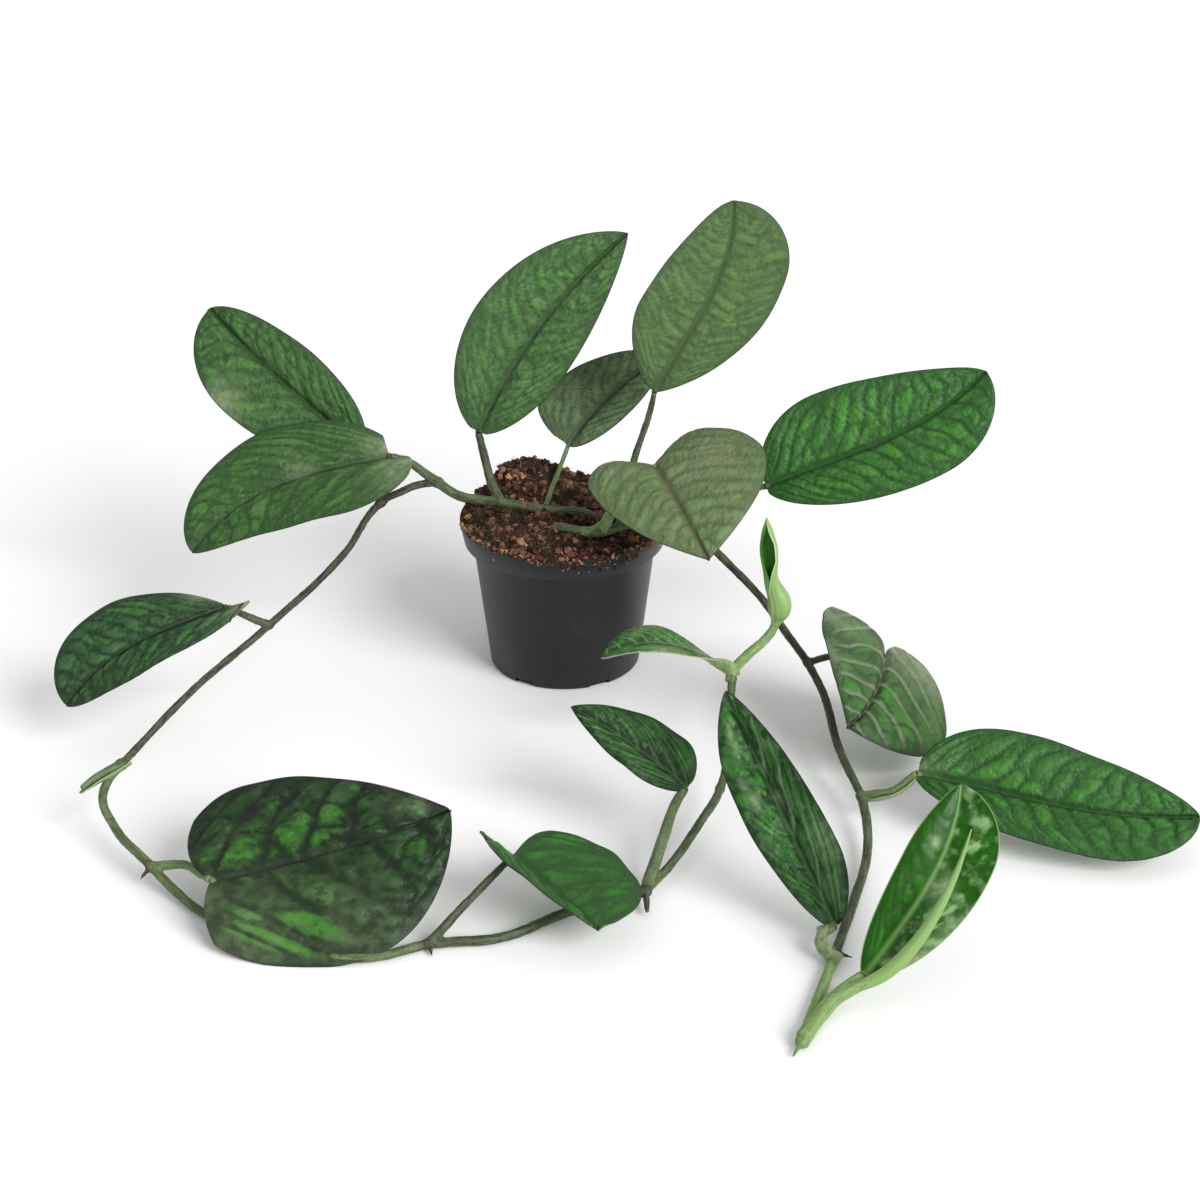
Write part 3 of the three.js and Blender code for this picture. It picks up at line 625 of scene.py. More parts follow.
def thicken(piece, thick, offset, **settings):
    """Give a bent sheet its thickness in millimetres."""
    body = piece.modifiers.new("thickness", "SOLIDIFY")
    body.thickness, body.offset = thick * MM, offset
    for key, value in settings.items():
        setattr(body, key, value)
    settled(piece)


def sheath_mesh(number, dry, route, widths, side, wrap):
    """A papery sheath: a wavy strip that wraps part of a stalk, with its middle turned to one side."""
    mesh, flat = flat_sheet("sheath", 18, 44)
    turn, share = flat[:, 0], (flat[:, 1] + 1) / 2
    middle = smooth_line(route, share)
    ahead = route_ahead(route, share, 0.02)
    side = np.array(side, float)
    out = unit(side - ahead * (ahead @ side)[:, None])
    across = np.cross(out, ahead)
    ruffle = 1 + (0.02 + 0.08 * dry) * np.abs(turn) * np.sin(19 * share + 2.3 * number + 2 * turn)
    angle = turn * wrap * (1 - 0.25 * share ** 3)
    radius = smooth_line(widths, share) * ruffle * (1 + 0.3 * turn ** 2)
    point = middle + out * (radius * np.cos(angle))[:, None] + across * (radius * np.sin(angle))[:, None]
    point[:, 2] = np.maximum(point[:, 2], 0.6)
    mesh.vertices.foreach_set("co", (point * MM).ravel())
    mark(mesh, "edge", np.abs(turn) ** 6)
    return mesh


def sheath_finish(name, dry):
    """Thin leaf sheath: pale green, with papery straw-coloured stains and lengthwise lines."""
    material, tree, shader, place = new_material(name)
    wide = speckle(tree, place, 130, 4, 0.65)
    fine = speckle(tree, place, 600, 3, 0.7)
    skin = mixed(tree, ramped(tree, fine, 0.35, 0.65), colour(88, 118, 62), colour(118, 144, 90))
    skin = mixed(tree, ramped(tree, wide, 0.66 - 0.26 * dry, 0.86 - 0.26 * dry), skin, colour(156, 152, 122))
    skin = mixed(tree, carried(tree, "edge"), skin, colour(138, 154, 112))
    dress(tree, shader, skin, 0.5, (fine, 0.4, 0.0005))
    return material


# How dry each sheath is, its route, its radii, the side that it faces, and how far it wraps.
SHEATHS = [
    (1, [(135, -321, 4.5), (130, -320, 7.5), (127, -315, 10.5), (129, -309, 13)], (2.7, 2.8, 3.0, 3.4),
     (-0.7, -0.5, 0.4), 1.2),
    (0.6, [(160, -187, 14.5), (167, -190.5, 18), (175, -191.5, 22), (183, -190.5, 29)], (2.8, 3.0, 2.9, 2.4),
     (0, -0.4, -0.8), 1.2),
    (0, [(92.5, -120, 49.5), (91, -117.5, 53), (86, -116, 55.4), (80, -116, 57.5)], (2.6, 3.0, 2.7, 1.5),
     (0.3, -0.9, 0), 1.3),
    (0, [(-222, -195, 41), (-230, -202, 39), (-237, -208, 37.5), (-244, -215, 35)], (2.8, 3.3, 3.1, 2.1),
     (-0.3, -0.6, -0.6), 1.3),
    (0, [(22, -37, 98), (25, -36, 103), (28, -34, 109), (31, -32, 115)], (2.4, 3.0, 2.6, 1.4),
     (-0.6, -0.7, 0.1), 1.2),
]
for i, (dry, *form) in enumerate(SHEATHS):
    skin = sheath_finish("sheath_skin_%d" % (i + 1), dry)
    piece = add_piece("sheath_%d" % (i + 1), sheath_mesh(i, dry, *form), [skin], None)
    thicken(piece, 0.45, 0)
stem_material = stem_finish()
for name, stretches, nodes, node in (("vine_left", LEFT_VINE, LEFT_NODES, "stem_left_vine"),
                                     ("vine_right", RIGHT_VINE, RIGHT_NODES, "stem_right_vine")):
    stem_body(name, stretches, nodes, node).data.materials.append(stem_material)

# Leaves
# Firm blades with sunken veins and raised quilting between them, each on its petiole. base and tip
# are the midrib's ends and face is where the upper side looks. half gives the widths of the left and
# right halves, wide where each is widest, and fold how far each lifts in degrees.
# Each leaf's listed pale grey-green spots are partly its own duller tone and partly painted sheen.
# The per-half sheen factor scales both the painted sheen, glints and pale mottling, and the side veins of
# each half.
PLAIN_LEAF = dict(bow=0, droop=0, sway=0, hook=0, wide=(0.42, 0.42), shoulder=0.01, heel=0.55, sharp=0.85,
    lobe=(0, 0), fold=(8, 8), wave=0.8, sinus=1.15, slot="leaf", finish="emerald", veins=0.08,
    sweep=(0.15, 0.2), cells=0.36, puff=1.5, crinkle=0.25, grey_tone_and_sheen=(), sheen_and_veins=(1, 1), ribs=(1, 1), fine=1,
    seed=1)
LEAVES = [
    dict(name="leaf_left_high", base=(-118, 30, 118), tip=(-206, 72, 190), face=(-0.1, -0.75, 0.65),
         half=(36, 24), wide=(0.6, 0.45), sharp=0.6, bow=4, sway=-1, hook=-2, finish="mottled", crinkle=1.2,
         veins=0.1, grey_tone_and_sheen=((0.62, -0.95, 0.11, 0.7),), cells=0.42, sweep=(0.2, 0.2), seed=2),
    dict(name="leaf_left_low", base=(-99, 2, 127), tip=(-207, -44, 88), face=(-0.2, -0.5, 0.85),
         half=(37, 36), wide=(0.32, 0.45), shoulder=0.05, sharp=0.65, lobe=(0.09, 0), fold=(6, 10), bow=6,
         sway=6, hook=7, sinus=0.5, finish="mottled", sweep=((0.2, 0.3), (0.2, 0.3)), veins=(0.13, 0.11),
         cells=0.45, crinkle=0.5,
         grey_tone_and_sheen=((0.0, -0.5, 0.15, 0.9), (0.0, 0.4, 0.12, 0.8), (0.4, 0.1, 0.08, 0.3)), seed=3),
    dict(name="leaf_crown_tall", base=(-49, 20, 134), tip=(36, 42, 245), face=(-0.1, -0.95, 0.3),
         half=(36, 28), wide=(0.42, 0.4), heel=0.62, fold=(10, 10), sway=-8, slot="older_leaf",
         finish="mossy", crinkle=1.1, puff=1.2, veins=0.06, cells=0.24, sweep=(0.15, 0.15), seed=4),
    dict(name="leaf_crown_top", base=(51, 2, 166), tip=(94, 22, 270), face=(0.2, -0.9, 0.4), half=(34, 36),
         wide=(0.36, 0.72), heel=0.8, sharp=0.55, fold=(5, 5), sway=3, hook=6, slot="older_leaf",
         finish="olive", puff=0.8, cells=0.5, veins=0.052, sweep=(0.05, 0.1), crinkle=0.3, seed=5),
    dict(name="leaf_crown_small", base=(2, 32, 121), tip=(62, 74, 162), face=(-0.1, -0.8, 0.6),
         half=(29, 16), wide=(0.15, 0.45), sharp=0.95, sway=-5, slot="older_leaf", finish="lightened_for_shade",
         puff=1.4, veins=0.11, cells=0.4, crinkle=0.8, seed=6),
    dict(name="leaf_crown_heart", base=(50, -30, 136), tip=(78, -110, 115), face=(-0.25, -0.25, 0.95),
         half=(56, 39), wide=(0.35, 0.12), shoulder=0.16, lobe=(0.16, 0.2), sharp=1, fold=(4, 4), bow=4,
         slot="older_leaf", finish="grey", puff=1.6, cells=0.5, veins=0.125, sweep=(0.1, 0.25), crinkle=0.3,
         grey_tone_and_sheen=((0.3, -0.55, 0.16, 0.3), (0.05, 0.5, 0.12, 0.3)), seed=7),
    dict(name="leaf_crown_right", base=(114, -14, 115), tip=(236, 2, 178), face=(-0.1, -0.8, 0.6),
         half=(39, 33), wide=(0.3, 0.68), sharp=0.65, sway=3, hook=6, cells=0.38, sweep=(0.08, 0.15),
         seed=8),
    dict(name="leaf_left_trailing", base=(-184, -85, 75), tip=(-268, -122, 33), face=(-0.3, -0.6, 0.8),
         half=(21, 30), wide=(0.55, 0.66), heel=(0.5, 0.8), sharp=0.6, bow=8, sway=1, hook=5,
         finish="dusky", veins=0.1, cells=0.4, puff=1.9,
         grey_tone_and_sheen=((0.0, -0.6, 0.12, 0.9), (0.1, 0.9, 0.12, 0.5)), lobe=(0.12, 0), seed=9),
    dict(name="leaf_front_heart", base=(-168, -286, 27), tip=(-53, -258, 50), face=(0, -0.45, 0.9),
         half=(58, 59), wide=(0.22, 0.5), shoulder=(0.08, 0.12), lobe=(0.085, 0.05), sharp=0.8,
         fold=(-10, -10), bow=1, sway=3, hook=1, sinus=0.8, finish="dark", sweep=((0.24, 0.55), (0.1, 0.1)),
         veins=(0.18, 0.24), puff=3.0,
         grey_tone_and_sheen=((0.1, 0.95, 0.3, 0.3), (0.5, 1.0, 0.22, 0.2), (0.86, -0.5, 0.1, 0.4), (0.02, 0.3, 0.1, 0.3)),
         heel=(0.42, 0.55), seed=10),
    dict(name="leaf_front_folded", base=(-22, -266, 29), tip=(20, -319, 20), face=(0.3, -0.35, 0.9),
         half=(41, 24), wide=(0.45, 0.3), shoulder=(0.14, 0.09), lobe=(0.09, 0.25), sharp=(0.24, 1.1),
         fold=(4, 40), finish="satin", puff=1.0, veins=0.24, cells=0.7, sweep=(0.2, 0.3), heel=(0.45, 0.5),
         grey_tone_and_sheen=((0.0, 0.6, 0.16, 0.6),), seed=11),
    dict(name="leaf_front_small", base=(65, -215, 37), tip=(6, -190, 70), face=(0.1, -0.4, 0.9),
         half=(15, 21), wide=(0.36, 0.25), sway=2, finish="budding", veins=(0.2, 0.17), cells=0.9,
         sweep=(0.45, 0.35), puff=1.8, crinkle=0, fine=1.8, ribs=(1, 0.5), seed=12),
    dict(name="leaf_right_upright", base=(133, -306, 13), tip=(82, -224, 97), face=(-0.5, -0.6, 0.6),
         half=(19, 24), wide=(0.6, 0.25), heel=0.65, fold=(25, 25), finish="veined", cells=(0.85, 0.6),
         veins=(0.085, 0.26), sweep=((0.05, 0.2), (0.15, 0.6)), puff=2.2,
         grey_tone_and_sheen=((0.3, 0.8, 0.1, 0.4), (0.84, -0.5, 0.045, 0.8), (0.77, -0.45, 0.04, 0.7),
                (0.55, -0.5, 0.045, 0.7), (0.53, 0.1, 0.045, 0.8), (0.62, -0.6, 0.04, 0.5)),
         crinkle=0.5, fine=1.8, ribs=(0.3, 1), seed=13),
    dict(name="leaf_right_tilted", base=(178, -90, 48), tip=(152, -156, 39), face=(0.5, -0.36, 0.7),
         half=(46, 46), wide=(0.45, 0.12), shoulder=0.16, heel=0.65, lobe=(0.14, 0.16), sharp=1,
         fold=(5, 5), sway=-5, sinus=0.5, finish="darkened_for_sun", veins=0.18, sweep=(0.15, 0.3), cells=0.7,
         puff=1.9, grey_tone_and_sheen=((-0.02, -0.7, 0.24, 1.0), (0.05, 0.95, 0.2, 0.6), (0.5, 0.98, 0.13, 0.4)),
         fine=1.8, seed=14),
    dict(name="leaf_right_long", base=(185, -190, 31), tip=(326, -218, 22), face=(0, -0.5, 0.87),
         half=(34, 31), wide=(0.3, 0.7), sharp=0.65, fold=(14, 14), sway=2, hook=5, veins=0.085,
         sweep=(0.05, 0.15), cells=0.5, puff=2.0, grey_tone_and_sheen=((0.0, -0.3, 0.12, 0.35),), seed=15),
    dict(name="leaf_right_young", base=(144, -345, 11), tip=(190, -300, 88), face=(-0.2, -0.8, 0.5),
         half=(18, 25), wide=(0.6, 0.7), heel=0.65, sharp=0.7, fold=(20, 15), sway=4, hook=4, wave=0.3,
         slot="young_leaf", finish="glossy", puff=0.6, veins=0.1, cells=0.5, sheen_and_veins=(0.0, 1.6),
         grey_tone_and_sheen=((0.16, 1.05, 0.14, 0.9), (0.36, 1.1, 0.12, 0.8), (0.7, -0.4, 0.05, 0.8),
                (0.52, 0.25, 0.09, 0.5)),
         crinkle=0, seed=16),
    dict(name="leaf_left_young", base=(86, -116, 55), tip=(21, -120, 61), face=(0, -0.3, 0.95),
         half=(8, 12.5), wide=(0.45, 0.65), heel=2.1, sharp=0.6, fold=(10, 10), bow=11, droop=3, wave=0.3,
         slot="young_leaf", finish="tender", puff=1.4, veins=0.11, cells=0.7,
         grey_tone_and_sheen=((0.0, 0.0, 0.26, 0.9), (0.5, -1.0, 0.25, 0.5), (0.6, 1.0, 0.2, 0.5)), sweep=(0.3, 0.3),
         fine=1.8, seed=17),
]


def outline(leaf, s, side):
    """Width of one half of the blade at s along the midrib, as a share of its widest."""
    widest, heel, sharp, shoulder = (np.broadcast_to(leaf[key], 2)[side]
                                     for key in ("wide", "heel", "sharp", "shoulder"))
    back = np.clip((widest - s) / (widest + shoulder), 0, 1)
    front = np.clip((s - widest) / (1 - widest), 0, 1)
    share = np.where(s < widest, (1 - back ** 2) ** heel, (1 - front ** 2) ** sharp)
    return np.maximum(share, 0.006)


def blade(leaf, s, t):
    """Middle surface at s from base to tip and t from the left edge -1 to the right edge 1."""
    base, tip, face = (np.array(leaf[key], float) for key in ("base", "tip", "face"))
    chord = tip - base
    along = unit(chord)
    up = unit(face - along * (face @ along))
    right = np.cross(along, up)
    side = (t >= 0).astype(int)
    sinus = np.sin(0.8 * np.pi * np.abs(t) ** leaf["sinus"])
    place = s - np.array(leaf["lobe"])[side] * (1 - s) ** 3 * sinus
    u = np.maximum(place, 0)[:, None]
    early, late = 4 * u * (1 - u), 6.75 * u * u * (1 - u)
    early_slope, late_slope = 4 - 8 * u, 6.75 * (2 * u - 3 * u * u)
    slope = (chord + right * (leaf["sway"] * early_slope + leaf["hook"] * late_slope)
             + up * (leaf["bow"] * early_slope + leaf["droop"] * late_slope))
    point = (base + chord * u + right * (leaf["sway"] * early + leaf["hook"] * late)
             + up * (leaf["bow"] * early + leaf["droop"] * late) + slope * np.minimum(place, 0)[:, None])
    tangent = unit(slope)
    normal = unit(up - tangent * (tangent @ up)[:, None])
    across = np.cross(tangent, normal)
    width = outline(leaf, s, side)
    reach = t * np.array(leaf["half"])[side] * width
    fold = np.radians(np.array(leaf["fold"])[side])
    ripple = leaf["wave"] * np.sin(5 * np.pi * s + np.where(side, 0, 1.3))
    ripple = ripple * (t * width) ** 2 * np.sin(np.pi * s)
    lift = (np.hypot(reach, 1.2) - 1.2) * np.sin(fold)
    return point + across * (reach * np.cos(fold))[:, None] + normal * (lift + ripple)[:, None], reach


SHIFTS = Vector((0, 0, 0)), Vector((31.7, 0, 0)), Vector((0, 47.3, 0))


def quilting(leaf, s, t, reach):
    """Height of the quilted surface in millimetres, and the masks that its colours follow."""
    a = np.abs(t)
    side = (t >= 0).astype(int)
    seed = leaf["seed"]
    length = math.dist(leaf["base"], leaf["tip"])
    taper = 1.25 * (1 - s ** 2)
    near, far = (np.broadcast_to(part, 2)[side] * taper for part in leaf["sweep"])
    drift = (0.014 * np.sin(7 * a + seed) + 0.01 * np.sin(15 * s + 4 * a + 2 * seed)
             + 0.006 * np.sin(31 * s + seed))
    spacing = np.broadcast_to(leaf["veins"], 2)[side]
    phase = (s - near * a - far * a ** 2.4 + drift) / spacing + 0.5 * side + 40
    gap = np.abs(phase - np.floor(phase) - 0.5) * 2
    across = a / np.broadcast_to(leaf["cells"], 2)[side]
    blister, tone, crinkle = np.empty(len(s)), np.empty(len(s)), np.empty(len(s))
    for i in range(len(s)):
        row = math.floor(phase[i])
        spot = Vector((phase[i] * 0.8 + 9 * row, across[i] + 0.37 * row, 5.3 * seed + 40 * side[i]))
        near_by = spot * 1.7
        spot += 0.3 * Vector([noise.noise(near_by + shift) for shift in SHIFTS])
        reaches, centres = noise.voronoi(spot)
        blister[i] = reaches[1] - reaches[0]
        tone[i] = 0.5 + 0.5 * math.sin(57 * centres[0].x + 91 * centres[0].y)
        crinkle[i] = noise.noise(Vector((s[i] * length * 0.16, reach[i] * 0.2, seed)))
    dome = np.clip(blister * 1.7, 0, 1) ** 0.8
    pillow = (1 - gap ** 3.2) ** 0.75
    rib = 1.5 * (1 - 0.75 * s) + 0.3
    midrib = np.exp(-(reach / rib) ** 2)
    spine = np.exp(-(reach / (0.24 * sum(leaf["half"]) / 2)) ** 2) * np.clip(1.15 - s, 0, 1)
    lateral = np.clip((gap - 0.68) / 0.32, 0, 1) ** 1.3 * np.clip((0.96 - a) / 0.3, 0, 1)
    spread = np.clip(1 - a ** 7, 0, 1) * np.clip(s / 0.1, 0, 1) * np.clip((1.02 - s) / 0.14, 0, 1)
    cushion = pillow * (0.12 + 0.88 * dome) * spread * (1 - np.exp(-(reach / (rib * 2)) ** 2))
    size = leaf["puff"] * min(1, sum(leaf["half"]) / 62)
    height = size * (cushion * (0.8 + 0.4 * tone) - 0.5 * midrib - 0.22 * lateral - 0.5)
    height += leaf["crinkle"] * crinkle * spread + 0.8 * np.sin(np.pi * a) * spread - 0.8 * a ** 8
    # Pale grey-green spots listed per leaf: partly the blade's own duller tone and partly painted sheen.
    grey_tone_and_sheen = np.zeros(len(s))
    for at_s, at_t, wide, most in leaf["grey_tone_and_sheen"]:
        grey_tone_and_sheen = np.maximum(grey_tone_and_sheen, most * np.exp(-((s - at_s) ** 2 + (0.3 * (t - at_t)) ** 2) / wide ** 2
                                                * 1.4))
    flow = np.stack((s * length, reach, np.full(len(s), 9.0 * seed)), axis=1)
    lateral = lateral * np.array(leaf["ribs"], float)[side]
    return height, flow, {"cushion": cushion, "lateral": lateral, "midrib": midrib, "spine": spine,
                          "tone": tone,
                          "grey_tone_and_sheen": grey_tone_and_sheen, "sheen_and_veins": np.array(leaf["sheen_and_veins"], float)[side]}


def leaf_mesh(leaf):
    length = math.dist(leaf["base"], leaf["tip"])
    rows = int(leaf["fine"] * min(140, max(70, length)))
    columns = 2 * int(leaf["fine"] * min(44, max(20, sum(leaf["half"]) / 1.9)))
    mesh, flat = flat_sheet(leaf["name"], columns, rows)
    t = 0.55 * flat[:, 0] + 0.45 * np.sin(0.5 * np.pi * flat[:, 0])
    s = 0.5 * (1 - np.cos(np.pi * (flat[:, 1] + 1) / 2))
    middle, reach = blade(leaf, s, t)
    step = 0.004
    forward = blade(leaf, np.minimum(s + step, 1), t)[0] - blade(leaf, np.maximum(s - step, 0), t)[0]
    sideways = blade(leaf, s, np.minimum(t + step, 1))[0] - blade(leaf, s, np.maximum(t - step, -1))[0]
    normal = unit(np.cross(sideways, forward))
    height, flow, masks = quilting(leaf, s, t, reach)
    middle = middle + normal * (height + 0.3)[:, None]
    middle[:, 2] = np.maximum(middle[:, 2], 0.9)
    mesh.vertices.foreach_set("co", (middle * MM).ravel())
    side = (t >= 0).astype(int)
    inward = np.array(leaf["half"])[side] * outline(leaf, s, side) * (1 - np.abs(t))
    masks["rim"] = np.clip(1 - inward / 1.1, 0, 1)
    masks["inside"] = np.clip((inward - 1.5) / 7, 0, 1)
    for name, values in masks.items():
        mark(mesh, name, values)
    mark(mesh, "flow", flow.ravel(), "FLOAT_VECTOR", "vector")
    return mesh, reach, s


LEAF_COLOURS = "Deep", "Field", "Bright", "Pale", "Vein", "Rib", "Edge"
LEAF_AMOUNTS = "Patches", "Spread", "Crumple", "PaintedSheen", "Midrib", "Laterals", "SpineShade"


def leaf_surface():
    """Colour of a quilted leaf: darker in its valleys, partly vein colour and partly painted shade, and
    lighter and yellower on some cushions, partly its own tone and partly painted highlight.
    """
    taken = [("Place", "Vector"), *((name, "Color") for name in LEAF_COLOURS),
             *((name, "Float") for name in LEAF_AMOUNTS)]
    tree, given, ends = new_group("leaf_surface", taken,
                                  [("Color", "Color"), ("Gloss", "Float"), ("Height", "Float")])
    masks = {name: carried(tree, name) for name in ("cushion", "lateral", "midrib", "spine", "tone", "grey_tone_and_sheen",
                                                    "rim", "inside", "sheen_and_veins")}
    place = given["Place"]
    flow = carried(tree, "flow", "Vector")
    broad = speckle(tree, place, 26, 2)
    middle = speckle(tree, place, 150, 2, 0.5)
    fine = speckle(tree, place, 800, 3, 0.6)
    wrinkles = speckle(tree, stretched(tree, flow, (0.25, 0.25, 1)), 1.0, 2, 0.5)
    noisy = add_node(tree, "ShaderNodeTexNoise", {"Vector": flow, "Scale": 0.3, "Detail": 1.0})
    shaken = vectors(tree, "SUBTRACT", noisy.outputs["Color"], (0.5, 0.5, 0.5))
    spots = vectors(tree, "ADD", flow, vectors(tree, "MULTIPLY", shaken, (4.5, 4.5, 0)))
    spots = stretched(tree, spots, (0.28, 0.28, 1))
    grain = add_node(tree, "ShaderNodeTexVoronoi", {"Vector": spots, "Scale": 1.0}).outputs
    domes = ramped(tree, grain["Distance"], 0.15, 0.75, 1.0, 0.0)
    cells = add_node(tree, "ShaderNodeSeparateColor", {"Color": grain["Color"]}).outputs

    # Painted shade: the colour runs from Deep in the valleys between cushions, cells and wrinkles to Field
    # on the cushions. This is partly the veins' own darker green and partly shade painted in.
    uneven = plus(tree, times(tree, figured(tree, "SUBTRACT", wrinkles, 0.5), given["Crumple"]),
                  times(tree, figured(tree, "SUBTRACT", domes, 0.5), 0.14))
    raised = plus(tree, masks["cushion"], uneven)
    skin = mixed(tree, ramped(tree, raised, 0.05, 0.5), given["Deep"], given["Field"])
    # Lighter, yellower patches on the raised cushion tops: partly the blade's own uneven tone and partly
    # painted highlight.
    lit = plus(tree, times(tree, masks["tone"], 0.6),
               plus(tree, times(tree, broad, 1.7), times(tree, cells[0], 0.22)))
    lit = plus(tree, lit, given["Spread"])
    patch = times(tree, ramped(tree, lit, 1.2, 1.62), ramped(tree, raised, 0.15, 0.6))
    patch = times(tree, patch, masks["inside"])
    skin = mixed(tree, times(tree, patch, given["Patches"]), skin, given["Bright"])
    # Painted shade: a broad dark band along the sunken midrib, fading towards the tip.
    shade = times(tree, masks["spine"], ramped(tree, wrinkles, 0.65, 0.35))
    skin = mixed(tree, times(tree, shade, given["SpineShade"]), skin, given["Deep"])

    # Painted highlight: pale glints on some cushion tops, in clusters, with a faint pale mottling, mixed
    # towards Pale as the sheen of the glossy blade.
    chance = figured(tree, "FRACT", times(tree, masks["tone"], 7.3))
    chosen = plus(tree, times(tree, chance, 0.65), times(tree, cells[1], 0.35))
    glint = times(tree, ramped(tree, chosen, 0.5, 0.75), ramped(tree, raised, 0.35, 0.9))
    cluster = ramped(tree, broad, 0.4, 0.6, 0.15, 1.0)
    sheen = plus(tree, times(tree, times(tree, glint, cluster), 1.1),
                 times(tree, ramped(tree, middle, 0.45, 0.75), 0.35))
    sheen = times(tree, times(tree, sheen, given["PaintedSheen"]), masks["sheen_and_veins"])
    skin = mixed(tree, figured(tree, "MINIMUM", sheen, 0.85), skin, given["Pale"])
    lateral = times(tree, masks["lateral"], ramped(tree, wrinkles, 0.15, 0.5, 0.3, 1.0))
    lateral = times(tree, times(tree, lateral, given["Laterals"]), masks["sheen_and_veins"])
    skin = mixed(tree, figured(tree, "MINIMUM", lateral, 0.9), skin, given["Vein"])
    skin = mixed(tree, times(tree, masks["midrib"], given["Midrib"]), skin, given["Rib"])
    # Pale grey-green spots: partly the blade's own duller tone and partly painted sheen.
    grey_tone_and_sheen = times(tree, masks["grey_tone_and_sheen"], ramped(tree, middle, 0.3, 0.6, 0.5, 1.0))
    skin = mixed(tree, grey_tone_and_sheen, skin, mixed(tree, 0.45, given["Pale"], colour(148, 158, 126)))
    skin = mixed(tree, ramped(tree, masks["rim"], 0.45, 0.8), skin, given["Edge"])

    tree.links.new(skin, ends["Color"])
    tree.links.new(plus(tree, times(tree, middle, 0.6), times(tree, fine, 0.4)), ends["Gloss"])
    relief = plus(tree, times(tree, wrinkles, 1.2), times(tree, domes, 0.3))
    relief = times(tree, relief, figured(tree, "SUBTRACT", 1.0, masks["midrib"]))
    tree.links.new(plus(tree, relief, times(tree, fine, 0.05)), ends["Height"])
    return tree


